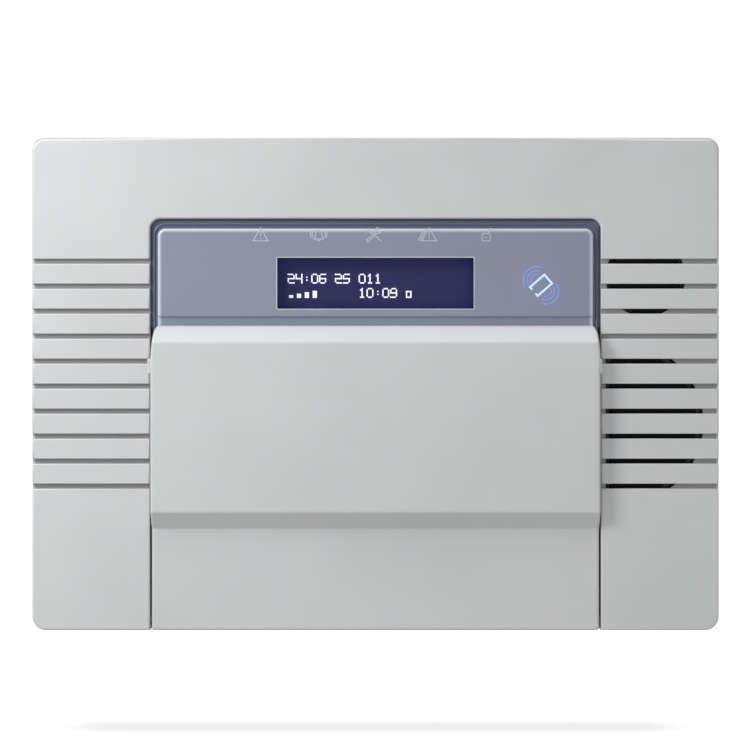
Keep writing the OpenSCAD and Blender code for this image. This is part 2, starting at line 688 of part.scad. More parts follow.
module siren_housing() color([0.2, 0.2, 0.22]) {
    duct_x = module_x + 0.6;
    duct_d = [siren_d[1] - eps, inner_d - 2.3];
    difference() {
        union() {
            disc(siren_at, siren_r, siren_d);
            for (at = siren_ears) disc(at, 4.2, [siren_d[1] - 2, siren_d[1]]);
        }
        disc(siren_at, siren_r - 2, [siren_d[0] + 2, siren_d[1] - 1.5]);
        intersection() {
            disc(siren_at, siren_r - 2, [siren_d[1] - 2, siren_d[1] + 1]);
            block([duct_x + 1.5, half_w], [-100, 100], [0, 100]);
        }
        for (at = siren_ears) disc(at, 1.5, [siren_d[1] - 3, siren_d[1] + 1]);
    }
    // A duct that leads the sound from the disc to the slots.
    intersection() {
        difference() {
            disc(siren_at, siren_r, duct_d);
            difference() {
                disc(siren_at, siren_r - 1.8, duct_d + [-1, 1]);
                block([0, duct_x + 1.5], [-100, 100], [0, 100]);
            }
        }
        block([duct_x, half_w], [-100, 100], duct_d);
    }
    // The step that the disc lies on.
    difference() {
        disc(siren_at, siren_r - 2, [siren_d[0] + 2 - eps, 24]);
        disc(siren_at, siren_r - 5, [siren_d[0], 25]);
    }
}

module siren_disc() color("goldenrod") {
    disc(siren_at, siren_r - 2.2, [24, 24.5]);
    disc(siren_at, 20, [24.5, 24.8]);
}

// Leads from the two sounders to the back of the keypad board, as [x, y, z] points.
siren_route = [
    [96, -17.6, -12], [96, -14.8, -10], [92, -13.6, 0], [84, -15, 14], [76, -19, 24], [70, -25, 28],
    [70, -29.6, 28]
];
speaker_route = [
    [113, -29.3, 44], [110, -27, 43], [100, -25, 41], [89, -25, 38], [82, -26, 36], [81, -29.6, 36]
];

module sounder_leads() color([0.75, 0.1, 0.1]) {
    tube(curve(siren_route, 4), 1.1, [0.9, 0.1, 0.1]);
    tube(curve(speaker_route, 4), 1.1, [0.1, 0.3, 1]);
}

module self_tapping_screws() color("silver") {
    for (at = post_at) screw(at, board_d[1] + 6, board_d[0], 1.15, 2.7, 1.8);
    for (at = siren_ears) screw(at, siren_d[1] + 6, siren_d[1] - 2, 1.15, 2.7, 1.8);
    for (at = speaker_ears) screw(at, inner_d - 0.2, speaker_d - 2.2, 1.15, 2.7, 1.8);
}

module lid_screws() color("silver")
    for (at = lid_screw_at) screw(at, seam_d - 4.5, 34, 1.95, 3.6, 2.6);

// ---- Flap ----

module flap_section() {
    // Side view in (y, z): the outer line down the front, then the inner line back up.
    f = flap_front_d;
    polygon([
        [-(front_d - 2), flap_top],
        [-front_d, flap_top],
        [-f, flap_top - bevel_h],
        [-f, apron_top + bevel_h],
        [-front_d, apron_top],
        [-front_d, bottom_z + 1.2],
        [-(front_d - 1.2), bottom_z],
        [-flap_lip_d, bottom_z],
        [-flap_lip_d, bottom_z + 2.2],
        [-(front_d - flap_t), bottom_z + 2.2],
        [-(front_d - flap_t), apron_top + 1.3],
        [-(f - flap_t), apron_top + bevel_h + 1.3],
        [-(f - flap_t), flap_top - bevel_h - 1.1],
        [-(front_d - 2), flap_top - 2.6]
    ]);
}

module flap_outline() {
    r = 3;
    translate([-flap_x, bottom_z]) square([2 * flap_x, flap_top - bottom_z - r]);
    translate([-flap_x + r, bottom_z]) square([2 * flap_x - 2 * r, flap_top - bottom_z]);
    for (s = [-1, 1]) translate([s * (flap_x - r), flap_top - r]) circle(r);
}

module keypad_flap() color("whitesmoke") {
    f = flap_front_d;
    intersection() {
        union() {
            along_x([-flap_x, flap_x]) flap_section();
            // Cheeks that close the ends of the raised part.
            for (s = [-1, 1])
                along_x([s * (flap_x - 1.15) - 1.15, s * (flap_x - 1.15) + 1.15]) polygon([
                    [-(front_d - 2), flap_top - 0.5],
                    [-(f - 1), flap_top - bevel_h],
                    [-(f - 1), apron_top + bevel_h],
                    [-(front_d - 2), apron_top + 0.5]
                ]);
        }
        plate([front_d - 10, f + 1]) flap_outline();
    }
    for (s = [-1, 1]) {
        // Small grips on both edges of the flap.
        x = s * (flap_x + 0.4);
        block([x - 0.9, x + 0.9], [flap_top - 21.1, flap_top - 14.5], [front_d + 1.6, f - 1.2]);
        // Ears and stub pins that the flap turns on.
        ear = s * (flap_x - 2);
        along_x([ear - 2, ear + 2]) {
            translate([-flap_axis[0], flap_axis[1]]) circle(2.5);
            translate([-(front_d - 2), flap_axis[1] - 2.4]) square([front_d - 2 - flap_axis[0], 4.9]);
        }
        translate([s > 0 ? flap_x - eps : -flap_x - 2.4, -flap_axis[0], flap_axis[1]]) rotate([0, 90, 0])
            cylinder(h = 2.4 + eps, r = flap_pin_r);
    }
}

// ---- Keys ----

module key(i) color("white") {
    x = key_columns[i % 4];
    z = key_rows[floor(i / 4)];
    plate(key_d) rounded(span(x, key_w / 2), span(z, key_h / 2), key_r);
    plate([key_d[0], key_d[0] + 1.2]) rounded(span(x, key_w / 2 + 1.4), span(z, key_h / 2 + 1.4), key_r + 1);
}

rear_case();
cable_grommets();
threaded_inserts();
hinge_pins();
main_board();
board_screws();
terminal_blocks();
terminal_screws();
microchips();
relays();
capacitors();
pin_headers();
transformer_core();
transformer_winding();
mains_terminal();
mains_fuse();
battery_cells();
battery_strap();
battery_lead();
radio_board();
radio_shield();
antenna();
tamper_switch();
tamper_spring();
tamper_plunger();
ribbon_cable();
front_cover();
display_lens();
keypad_fascia();
key_mat();
keypad_board();
lcd_backlight();
lcd_glass();
lcd_frame();
status_leds();
tag_coil();
speaker_basket();
speaker_cone();
siren_housing();
siren_disc();
sounder_leads();
self_tapping_screws();
lid_screws();
keypad_flap();
for (i = [0:len(key_names) - 1])
    key(i);
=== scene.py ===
"""Looks of a wall-mounted alarm panel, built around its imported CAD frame.

Lengths are millimetres until mesh() turns them into metres. A place is (x, d, z), where d is the distance from the
wall, so y = -d. A box in the front's plane is (x0, x1, z0, z1).
"""
import math
import random

import bmesh
import bpy
import numpy as np
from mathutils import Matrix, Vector


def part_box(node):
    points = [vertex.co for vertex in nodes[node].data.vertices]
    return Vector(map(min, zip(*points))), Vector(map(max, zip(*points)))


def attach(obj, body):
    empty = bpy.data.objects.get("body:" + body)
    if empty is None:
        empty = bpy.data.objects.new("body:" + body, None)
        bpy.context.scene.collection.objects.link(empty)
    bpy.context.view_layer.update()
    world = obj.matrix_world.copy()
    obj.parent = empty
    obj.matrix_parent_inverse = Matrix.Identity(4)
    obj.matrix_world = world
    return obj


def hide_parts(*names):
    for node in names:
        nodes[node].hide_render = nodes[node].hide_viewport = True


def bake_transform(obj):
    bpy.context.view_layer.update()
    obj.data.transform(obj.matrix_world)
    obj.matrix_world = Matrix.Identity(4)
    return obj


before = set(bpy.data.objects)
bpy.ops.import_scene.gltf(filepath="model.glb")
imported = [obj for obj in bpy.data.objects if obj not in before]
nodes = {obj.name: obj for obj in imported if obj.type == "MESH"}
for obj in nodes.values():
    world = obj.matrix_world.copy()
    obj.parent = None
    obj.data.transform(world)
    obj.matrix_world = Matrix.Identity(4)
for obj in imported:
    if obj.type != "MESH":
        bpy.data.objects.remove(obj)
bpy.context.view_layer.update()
MM = 0.001


# ---- Sizes, from the CAD nodes' boxes ----

def span(node):
    """A node's box in mm as ((x0, x1), (d0, d1), (z0, z1))."""
    lo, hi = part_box(node)
    return (lo.x / MM, hi.x / MM), (-hi.y / MM, -lo.y / MM), (lo.z / MM, hi.z / MM)


COVER_X, COVER_D, COVER_Z = span("front_cover")
FRONT = COVER_D[1]                       # depth of the cover's front face
HALF_W = COVER_X[1]
BOTTOM, TOP = COVER_Z
OPEN_X = 97.35                           # half width of the front opening
OPEN_TOP = TOP - 35.1
FLAP_FRONT, FLAP_BOX_TOP = (high for _, high in span("keypad_flap")[1:])
FLAP_HALF = OPEN_X - 0.65
FLAP_TOP = OPEN_TOP - 46
APRON_TOP = BOTTOM + 44.1                # the flap's lower fold, with a flat apron below it
PLATEAU_X = OPEN_X - 3.15                # the lens's raised panel
PLATEAU_Z = (FLAP_BOX_TOP + 3.4, OPEN_TOP - 4.1)
PLATEAU = (-PLATEAU_X, PLATEAU_X, *PLATEAU_Z)
LCD_Z = sum(PLATEAU_Z) / 2 - 4.5
WINDOW = (-42.5, 42.5, LCD_Z - 11.1, LCD_Z + 11.1)
TAG = (71.5, LCD_Z - 0.9)                # centre of the tag symbol
GROOVE_DROP, GROOVE_PITCH, GROOVE_W = 18.3, 10.8, 2.1
GROOVES = [OPEN_TOP - GROOVE_DROP - GROOVE_PITCH * i for i in range(10)]
KEY_ORDER = ["key_" + key for key in "1 2 3 up 4 5 6 down 7 8 9 menu cancel 0 accept alarm".split()]
PRINT_D = (FRONT + 0.29, FRONT + 0.33)   # depths of the marks printed on the lens


# ---- Mesh helpers ----

def in_scene(name, data):
    """A new object with the data, linked to the scene."""
    obj = bpy.data.objects.new(name, data)
    bpy.context.scene.collection.objects.link(obj)
    return obj


def bmesh_of(data, weld=0.0):
    """A bmesh of a mesh, with close corners welded when a distance is given."""
    bm = bmesh.new()
    bm.from_mesh(data)
    if weld:
        bmesh.ops.remove_doubles(bm, verts=bm.verts, dist=weld)
    return bm


def write_back(bm, data):
    bm.to_mesh(data)
    bm.free()
    return data


def mesh(name, verts, faces, material=None):
    """An object from points (x, d, z) in mm."""
    data = bpy.data.meshes.new(name)
    data.from_pydata([(x * MM, -d * MM, z * MM) for x, d, z in verts], [], faces)
    data.validate()
    bm = bmesh_of(data)
    bmesh.ops.recalc_face_normals(bm, faces=bm.faces)
    write_back(bm, data)
    if material is not None:
        data.materials.append(material)
    return in_scene(name, data)


def cad_copy(name, node):
    """A new object with a welded copy of a CAD node's mesh."""
    bm = bmesh_of(nodes[node].data, 1e-6)
    bmesh.ops.recalc_face_normals(bm, faces=bm.faces)
    return in_scene(name, write_back(bm, bpy.data.meshes.new(name)))


def bake_modifiers(obj):
    """Applies the object's modifiers to its own mesh."""
    bpy.context.view_layer.update()
    dg = bpy.context.evaluated_depsgraph_get()
    data = bpy.data.meshes.new_from_object(obj.evaluated_get(dg), preserve_all_data_layers=True, depsgraph=dg)
    old = obj.data
    obj.modifiers.clear()
    obj.data = data
    bpy.data.meshes.remove(old)


def assign(thing, values):
    for key, value in values.items():
        setattr(thing, key, value)
    return thing


def modify(obj, name, kind, **values):
    assign(obj.modifiers.new(name, kind), values)


def boolean(obj, tool, operation="DIFFERENCE"):
    """Cuts, joins or intersects obj with tool, then removes tool."""
    modify(obj, "cut", "BOOLEAN", operation=operation, solver="MANIFOLD", object=tool)
    bake_modifiers(obj)
    bpy.data.objects.remove(tool)


def join(name, parts):
    """One object from several, which keep their materials and overlap freely."""
    bm = bmesh.new()
    slots = []
    for part in parts:
        remap = []
        for m in part.data.materials:
            if m not in slots:
                slots.append(m)
            remap.append(slots.index(m))
        start = len(bm.faces)
        part.data.transform(part.matrix_world)
        bm.from_mesh(part.data)
        bm.faces.ensure_lookup_table()
        for f in bm.faces[start:]:
            f.material_index = remap[f.material_index] if remap else 0
    data = write_back(bm, bpy.data.meshes.new(name))
    for m in slots:
        data.materials.append(m)
    for part in parts:
        bpy.data.objects.remove(part)
    return in_scene(name, data)


def merge_flats(obj):
    """Joins the coplanar faces that cutting leaves, so that flat sides shade flat."""
    bm = bmesh_of(obj.data, 2e-7)
    bmesh.ops.dissolve_limit(bm, angle_limit=math.radians(0.5), verts=bm.verts, edges=bm.edges, delimit={"MATERIAL"})
    write_back(bm, obj.data)


def smooth(obj, angle):
    """Smooth shading that keeps edges sharper than the angle, with face-weighted normals."""
    for p in obj.data.polygons:
        p.use_smooth = True
    obj.data.set_sharp_from_angle(angle=math.radians(angle))
    modify(obj, "normals", "WEIGHTED_NORMAL", keep_sharp=True, weight=80)
    return obj


def place(obj, body, slot, node=None):
    """Hands a piece over: the body it rides on and the CAD node it stands in for. slot is not used."""
    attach(obj, body)
    if node:
        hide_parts(node)
    return obj


def fit(name, parts, body, slot, node=None, angle=40):
    """Joins parts into one smoothly shaded piece and places it."""
    return place(smooth(join(name, parts), angle), body, slot, node)


def paint(obj, material):
    obj.data.materials.clear()
    obj.data.materials.append(material)
    return obj


def circle(n):
    """n angles all the way round."""
    return [2 * math.pi * k / n for k in range(n)]


def quarter(n):
    """A quarter turn in n steps, with both ends."""
    return [math.pi / 2 * k / n for k in range(n + 1)]


def inset(box, e):
    """A box (x0, x1, z0, z1) with its sides moved inward by e."""
    x0, x1, z0, z1 = box
    return x0 + e, x1 - e, z0 + e, z1 - e


def middle(x, z, d=0):
    """The place halfway along two spans, at depth d."""
    return (x[0] + x[1]) / 2, d, (z[0] + z[1]) / 2


def low_high(r):
    """A radius as (lower, upper)."""
    return r if isinstance(r, tuple) else (r, r)


def loft(name, rings, material=None, closed=False):
    """A closed solid through rings of equal length. closed joins the last ring to the first."""
    n, count = len(rings[0]), len(rings)
    faces = []
    for i in range(count if closed else count - 1):
        j = (i + 1) % count
        for k in range(n):
            m = (k + 1) % n
            faces.append((i * n + k, i * n + m, j * n + m, j * n + k))
    if not closed:
        faces += [tuple(range(n)), tuple((count - 1) * n + k for k in range(n))]
    return mesh(name, [v for ring in rings for v in ring], faces, material)


def rounded_rect(x0, x1, z0, z1, r, n=6):
    """Outline points (x, z), anticlockwise from the lower right. r is one radius or (lower, upper)."""
    low, high = low_high(r)
    out = []
    for cx, cz, radius, start in ((x1, z0, low, -90), (x1, z1, high, 0), (x0, z1, high, 90), (x0, z0, low, 180)):
        radius = max(radius, 0.02)
        ox, oz = cx + (-radius if cx == x1 else radius), cz + (radius if cz == z0 else -radius)
        out += arc(ox, oz, radius, start, start + 90, n)
    return out


def rounded_plate(name, box, d0, d1, r, front=0.0, back=0.0, material=None, n=6, steps=4):
    """A plate with a rounded outline, filleted along its front and back edges."""
    low, high = low_high(r)

    def ring(inward, d):
        radii = (max(low - inward, 0.02), max(high - inward, 0.02))
        return [(x, d, z) for x, z in rounded_rect(*inset(box, inward), radii, n)]

    rings = []
    if back > 0:
        rings += [ring(back * (1 - math.sin(a)), d0 + back * (1 - math.cos(a))) for a in quarter(steps)[:-1]]
    rings += [ring(0, d0 + back), ring(0, d1 - front)]
    if front > 0:
        rings += [ring(front * (1 - math.cos(a)), d1 - front + front * math.sin(a)) for a in quarter(steps)[1:]]
    return loft(name, rings, material)


def prism(name, outline, d0, d1, material=None):
    """An outline of (x, z) points, from depth d0 to d1."""
    return loft(name, [[(x, d, z) for x, z in outline] for d in (d0, d1)], material)


def bar(name, section, x0, x1, material=None):
    """A section of (d, z) points, from x0 to x1."""
    return loft(name, [[(x, d, z) for d, z in section] for x in (x0, x1)], material)


def revolve(name, centre, profile, material=None, n=40, axis="d", closed=False):
    """Turns (radius, distance) points about an axis through centre (x, d, z). closed makes a ring."""
    cx, cd, cz = centre
    rings = []
    for r, t in profile:
        turned = [(max(r, 0.002) * math.cos(a), max(r, 0.002) * math.sin(a)) for a in circle(n)]
        rings.append([(cx + u, cd + t, cz + v) if axis == "d" else (cx + t, cd + u, cz + v) for u, v in turned])
    return loft(name, rings, material, closed)


def arc(cx, cz, r, start, end, n=12, rz=None):
    """Points along an arc, or an ellipse's arc when rz is given, in degrees."""
    return [(cx + r * math.cos(math.radians(a)), cz + (rz or r) * math.sin(math.radians(a)))
            for a in (start + (end - start) * k / n for k in range(n + 1))]


def stroke(name, line, width, d0, d1, material=None, closed=False):
    """A flat line of even width along (x, z) points, from depth d0 to d1."""
    p = [Vector(q) for q in line]
    if closed and (p[0] - p[-1]).length < 1e-4:
        p.pop()
    rings = []
    for i, q in enumerate(p):
        before = q - p[i - 1] if closed or i else p[1] - p[0]
        after = p[(i + 1) % len(p)] - q if closed or i < len(p) - 1 else before
        u, v = before.normalized(), after.normalized()
        normal = Vector((-u.y - v.y, u.x + v.x))
        normal = normal.normalized() if normal.length > 1e-6 else Vector((-u.y, u.x))
        reach = width / 2 / max(0.35, normal.dot(Vector((-u.y, u.x))))
        a, b = q + normal * reach, q - normal * reach
        rings.append([(a.x, d0, a.y), (a.x, d1, a.y), (b.x, d1, b.y), (b.x, d0, b.y)])
    return loft(name, rings, material, closed)


def placed(line, at, size=1, turn=0):
    """A line drawn about the origin, turned, scaled and moved."""
    c, s = math.cos(math.radians(turn)), math.sin(math.radians(turn))
    return [(at[0] + size * (x * c - z * s), at[1] + size * (x * s + z * c)) for x, z in line]


def drawing(name, lines, at, size, width, depths, material):
    """Strokes for the lines of a drawing about the origin. A line is closed where its two ends meet."""
    return [stroke(name, placed(line, at, size), width, *depths, material, math.dist(line[0], line[-1]) < 1e-4)
            for line in lines]


def around(line):
    """The line, closed."""
    return line + line[:1]


def islands(node):
    """The boxes of a CAD node's separate solids, as ((x0, x1), (d0, d1), (z0, z1)) in mm, from left to right."""
    bm = bmesh_of(nodes[node].data, 1e-6)
    seen, found = set(), []
    for start in bm.verts:
        if start in seen:
            continue
        group, todo = [], [start]
        seen.add(start)
        while todo:
            v = todo.pop()
            group.append(v.co)
            for e in v.link_edges:
                w = e.other_vert(v)
                if w not in seen:
                    seen.add(w)
                    todo.append(w)
        (x0, x1), (y0, y1), (z0, z1) = [(min(c[i] for c in group) / MM, max(c[i] for c in group) / MM)
                                        for i in range(3)]
        found.append(((x0, x1), (-y1, -y0), (z0, z1)))
    bm.free()
    return sorted(found)


def round_solids(node):
    """For each of a CAD node's separate round solids: its centre, its radius and its two depths."""
    return [(middle(x, z), (x[1] - x[0]) / 2, *d) for x, d, z in islands(node)]


def tangent(p, i):
    """The direction of a line of Vectors at its point i."""
    return (p[min(i + 1, len(p) - 1)] - p[max(i - 1, 0)]).normalized()


def tube(name, path, radius, material=None, sides=12):
    """A round tube along points (x, d, z), with frames carried from one point to the next."""
    p = [Vector(q) for q in path]
    side = tangent(p, 0).orthogonal().normalized()
    rings = []
    for i, q in enumerate(p):
        t = tangent(p, i)
        side = (side - t * side.dot(t)).normalized()
        up = t.cross(side)
        rings.append([tuple(q + radius * (math.cos(a) * side + math.sin(a) * up)) for a in circle(sides)])
    return loft(name, rings, material)


def ring_tube(name, outline, d, radius, material=None, sides=12):
    """A round bead along a closed outline at one depth."""
    rings = []
    for i, (x, z) in enumerate(outline):
        a, b = outline[i - 1], outline[(i + 1) % len(outline)]
        t = Vector((b[0] - a[0], b[1] - a[1])).normalized()
        rings.append([(x - t.y * radius * math.cos(p), d + radius * math.sin(p), z + t.x * radius * math.cos(p))
                      for p in circle(sides)])
    return loft(name, rings, material, True)


def curve(points, steps=6):
    """A smooth line through points."""
    p = [np.array(q, float) for q in points]
    out = []
    for i in range(len(p) - 1):
        a, b, c, e = p[max(i - 1, 0)], p[i], p[i + 1], p[min(i + 2, len(p) - 1)]
        for k in range(steps):
            t = k / steps
            out.append(0.5 * (2 * b + (c - a) * t + (2 * a - 5 * b + 4 * c - e) * t * t
                              + (3 * b - a - 3 * c + e) * t ** 3))
    return [tuple(q) for q in out + [p[-1]]]


def filleted(points, radii, steps=5):
    """An open line of (a, b) points whose inner corners are rounded by the given radii."""
    out = [points[0]]
    for r, *corner in zip(radii, points[1:], points, points[2:]):
        q, before, after = (Vector(v) for v in corner)
        u, v = (before - q).normalized(), (after - q).normalized()
        half = math.acos(max(-1, min(1, u.dot(v)))) / 2
        if r <= 0 or half > math.radians(89):
            out.append(corner[0])
            continue
        back = r / math.tan(half)
        centre = q + (u + v).normalized() * (r / math.sin(half))
        start, end = q + u * back - centre, q + v * back - centre
        turn = math.atan2(start.x * end.y - start.y * end.x, start.dot(end))
        for a in (turn * k / steps for k in range(steps + 1)):
            out.append((centre.x + start.x * math.cos(a) - start.y * math.sin(a),
                        centre.y + start.x * math.sin(a) + start.y * math.cos(a)))
    return out + [points[-1]]


# ---- Materials ----

def linear(rgb):
    """sRGB 0-255 to linear."""
    return tuple((c / 255 / 12.92) if c / 255 <= 0.04045 else ((c / 255 + 0.055) / 1.055) ** 2.4 for c in rgb) + (1,)


def scaled(colour, k, add=0.0):
    """A colour with its channels multiplied and raised, held at 1."""
    return tuple(min(1, c * k + add) for c in colour[:3]) + (1,)


class Nodes:
    """Short names for building a node tree."""

    def __init__(self, name):
        self.material = bpy.data.materials.new(name)
        self.material.use_nodes = True
        self.tree = self.material.node_tree
        self.shader = self.tree.nodes["Principled BSDF"]
        self.place = self.add("ShaderNodeTexCoord").outputs["Object"]

    def add(self, kind, **values):
        node = self.tree.nodes.new(kind)
        for key, value in values.items():
            if hasattr(node, key):
                setattr(node, key, value)
            else:
                node.inputs[key].default_value = value
        return node

    def link(self, a, b):
        self.tree.links.new(a, b)

    def feed(self, node, values):
        """Sets or links the inputs of a node, by their number."""
        for i, v in values:
            if isinstance(v, (int, float, tuple)):
                node.inputs[i].default_value = v
            else:
                self.link(v, node.inputs[i])

    def noise(self, scale, detail=2.0, rough=0.5, place=None):
        n = self.add("ShaderNodeTexNoise", Scale=scale, Detail=detail, Roughness=rough)
        self.link(place or self.place, n.inputs["Vector"])
        return n.outputs["Fac"]

    def axes(self, vector=None):
        """The X, Y and Z of a vector, or of the place on the object."""
        n = self.add("ShaderNodeSeparateXYZ")
        self.link(vector or self.place, n.inputs[0])
        return n.outputs

    def stretched(self, scale):
        n = self.add("ShaderNodeMapping", Scale=scale)
        self.link(self.place, n.inputs["Vector"])
        return n.outputs[0]

    def ramp(self, value, stops):
        n = self.add("ShaderNodeValToRGB")
        for item, (at, grey) in zip(n.color_ramp.elements, stops):
            item.position = at
            item.color = grey if isinstance(grey, tuple) else (grey, grey, grey, 1)
        self.link(value, n.inputs["Fac"])
        return n.outputs["Color"]

    def math(self, operation, a, b=0.0):
        n = self.add("ShaderNodeMath", operation=operation)
        self.feed(n, enumerate((a, b)))
        return n.outputs[0]

    def times(self, a, b):
        return self.math("MULTIPLY", a, b)

    def mix(self, fac, a, b):
        n = self.add("ShaderNodeMix", data_type="RGBA")
        self.feed(n, ((0, fac), (6, a), (7, b)))
        return n.outputs[2]

    def blend(self, value, low, high):
        """0 at low and 1 at high, with smooth ends; low may be the larger."""
        n = self.add("ShaderNodeMapRange", interpolation_type="SMOOTHSTEP")
        flip = low > high
        self.feed(n, enumerate((value, min(low, high), max(low, high), float(flip), float(not flip))))
        return n.outputs[0]

    def colour(self, value):
        self.link(value, self.shader.inputs["Base Color"])

    def gloss(self, value, low, high, start=0.3, end=0.7):
        """Roughness from low to high as the value goes from start to end."""
        self.link(self.ramp(value, [(start, low), (end, high)]), self.shader.inputs["Roughness"])

    def bump(self, height, strength, distance):
        n = self.add("ShaderNodeBump", Strength=strength, Distance=distance)
        self.link(height, n.inputs["Height"])
        self.link(n.outputs["Normal"], self.shader.inputs["Normal"])

    def set(self, **values):
        for key, value in values.items():
            self.shader.inputs[key.replace("_", " ")].default_value = value


def moulded(name, colour, rough=0.42, grain=0.00002, vary=0.035, grain_scale=2600, specks=False, coat=0.0, recess_shade=0.0):
    """Moulded plastic: fine spark-eroded grain, slow colour drift, faint flecks and uneven gloss. Its last argument
    paints shade into the recesses in the front: a darker colour where little light comes in."""
    m = Nodes(name)
    base = linear(colour)
    tone = m.ramp(m.noise(14, 3), [(0.3, scaled(base, 1 - vary)), (0.7, scaled(base, 1 + vary))])
    if specks:
        cells = m.add("ShaderNodeTexVoronoi", Scale=190.0)
        m.link(m.place, cells.inputs["Vector"])
        fleck = m.math("LESS_THAN", cells.outputs["Distance"], 0.045)
        rare = m.math("GREATER_THAN", m.noise(60, 1), 0.6)
        tone = m.mix(m.times(m.times(fleck, rare), 0.3), tone, scaled(base, 0.45))
    # painted shade: the front's grooves and the opening's walls are darkened where little light reaches them
    if recess_shade:
        x, y, _ = m.axes()
        face = -FRONT * MM
        sunk = m.times(m.blend(y, face + 0.0003, face + 0.0011), m.blend(y, face + 0.0034, face + 0.0026))
        inside = m.math("LESS_THAN", m.math("ABSOLUTE", x), (HALF_W - 1) * MM)
        shade_tone = tuple(c * k for c, k in zip(base, (0.36, 0.355, 0.33, 1)))
        tone = m.mix(m.times(m.times(sunk, inside), recess_shade), tone, shade_tone)
    m.colour(tone)
    m.gloss(m.noise(55, 4), rough - 0.04, rough + 0.05)
    m.bump(m.noise(grain_scale, 2.0, 0.6), 0.35, grain)
    m.set(IOR=1.5)
    if coat:
        m.set(Coat_Weight=coat, Coat_Roughness=0.12)
    return m.material


def metal(name, colour, rough=0.3, vary=0.12):
    """Plated or drawn metal: streaks along one direction, slight tarnish, uneven gloss."""
    m = Nodes(name)
    base = linear(colour)
    streaks = m.noise(220, 4, 0.6, m.stretched((1, 1, 40)))
    m.colour(m.mix(m.noise(90, 3), scaled(base, 1 - vary), base))
    m.gloss(streaks, rough * 0.75, min(1, rough * 1.35))
    m.bump(streaks, 0.25, 0.00003)
    m.set(Metallic=1.0)
    return m.material


def glow(name, colour, strength, mottle):
    """A lit mark: emission with a slight mottle over a pale base."""
    m = Nodes(name)
    c = linear(colour)
    tone = m.mix(m.noise(900, 2), scaled(c, 1 - mottle), c)
    m.colour(tone)
    m.link(tone, m.shader.inputs["Emission Color"])
    m.set(Emission_Strength=strength, Roughness=0.5)
    return m.material


def print_ink(name, colour, rough=0.55):
    """Screen-printed ink, slightly uneven at its edges."""
    m = Nodes(name)
    c = linear(colour)
    m.colour(m.mix(m.ramp(m.noise(1500, 3), [(0.45, 0), (0.75, 1)]), c, scaled(c, 1.25, 0.01)))
    m.gloss(m.noise(600, 2), rough - 0.1, rough + 0.1)
    return m.material


def clear(name, colour, alpha, rough=0.06):
    """Clear plastic or glass: a faint tint, a glossy surface and fine hairline marks."""
    m = Nodes(name)
    c = linear(colour)
    m.colour(m.mix(m.noise(120, 3), scaled(c, 0.93), c))
    m.gloss(m.noise(400, 4, 0.6, m.stretched((1, 1, 18))), rough, rough + 0.1, 0.45, 0.8)
    m.bump(m.noise(90), 0.1, 0.00001)
    m.set(Alpha=alpha, IOR=1.49)
    return m.material


def rubber(name, colour, rough=0.72):
    """Matt rubber: mottled, dusty on its upper side, with a pebbled surface."""
    m = Nodes(name)
    base = linear(colour)
    up = m.axes(m.add("ShaderNodeNewGeometry").outputs["Normal"])["Z"]
    mask = m.times(m.blend(up, 0.1, 1.0), m.noise(260, 4))
    m.colour(m.mix(mask, m.mix(m.noise(60, 3), base, scaled(base, 1.35)), scaled(base, 0.75, 0.035)))
    m.gloss(m.noise(180, 3), rough - 0.08, rough + 0.1)
    m.bump(m.noise(1400, 3), 0.4, 0.00004)
    return m.material


def circuit_board(name):
    """Green solder mask over copper: a maze of straight tracks, a fill area and plated holes."""
    m = Nodes(name)
    flat = m.stretched((1, 0.001, 1))

    def cells(scale, distance):
        n = m.add("ShaderNodeTexVoronoi", Scale=scale, distance=distance, Randomness=0.55)
        m.link(flat, n.inputs["Vector"])
        return n.outputs["Distance"]

    waves = m.math("FRACT", m.times(cells(95, "CHEBYCHEV"), 5.0))
    track = m.blend(m.math("ABSOLUTE", m.math("SUBTRACT", waves, 0.5)), 0.24, 0.2)
    copper = m.times(track, m.math("GREATER_THAN", m.noise(42, 1, 0.5, flat), 0.47))
    hole = m.math("LESS_THAN", cells(240, "EUCLIDEAN"), 0.09)
    mask = m.mix(m.noise(20, 3), linear((16, 74, 44)), linear((20, 86, 52)))
    mask = m.mix(copper, mask, linear((44, 124, 72)))
    m.colour(m.mix(hole, mask, linear((176, 178, 160))))
    m.gloss(m.noise(150, 3), 0.26, 0.38)
    m.bump(m.math("SUBTRACT", copper, hole), 0.5, 0.00004)
    m.set(Coat_Weight=0.25, Coat_Roughness=0.2)
    return m.material


def banded(name, colour, seam_colour, pitch, rough, metallic=0.0):
    """Thin layers one above the other: steel laminations or wound tape."""
    m = Nodes(name)
    drift = m.times(m.noise(130, 2), 0.00025)
    along = m.math("FRACT", m.math("DIVIDE", m.math("ADD", m.axes()["Z"], drift), pitch))
    seam = m.blend(m.math("ABSOLUTE", m.math("SUBTRACT", along, 0.5)), 0.36, 0.5)
    base = linear(colour)
    m.colour(m.mix(seam, m.mix(m.noise(70, 4), base, scaled(base, 0.72)), linear(seam_colour)))
    m.gloss(m.noise(240, 3), rough - 0.1, rough + 0.12)
    m.bump(m.times(seam, -1.0), 0.6, 0.00006)
    m.set(Metallic=metallic)
    return m.material


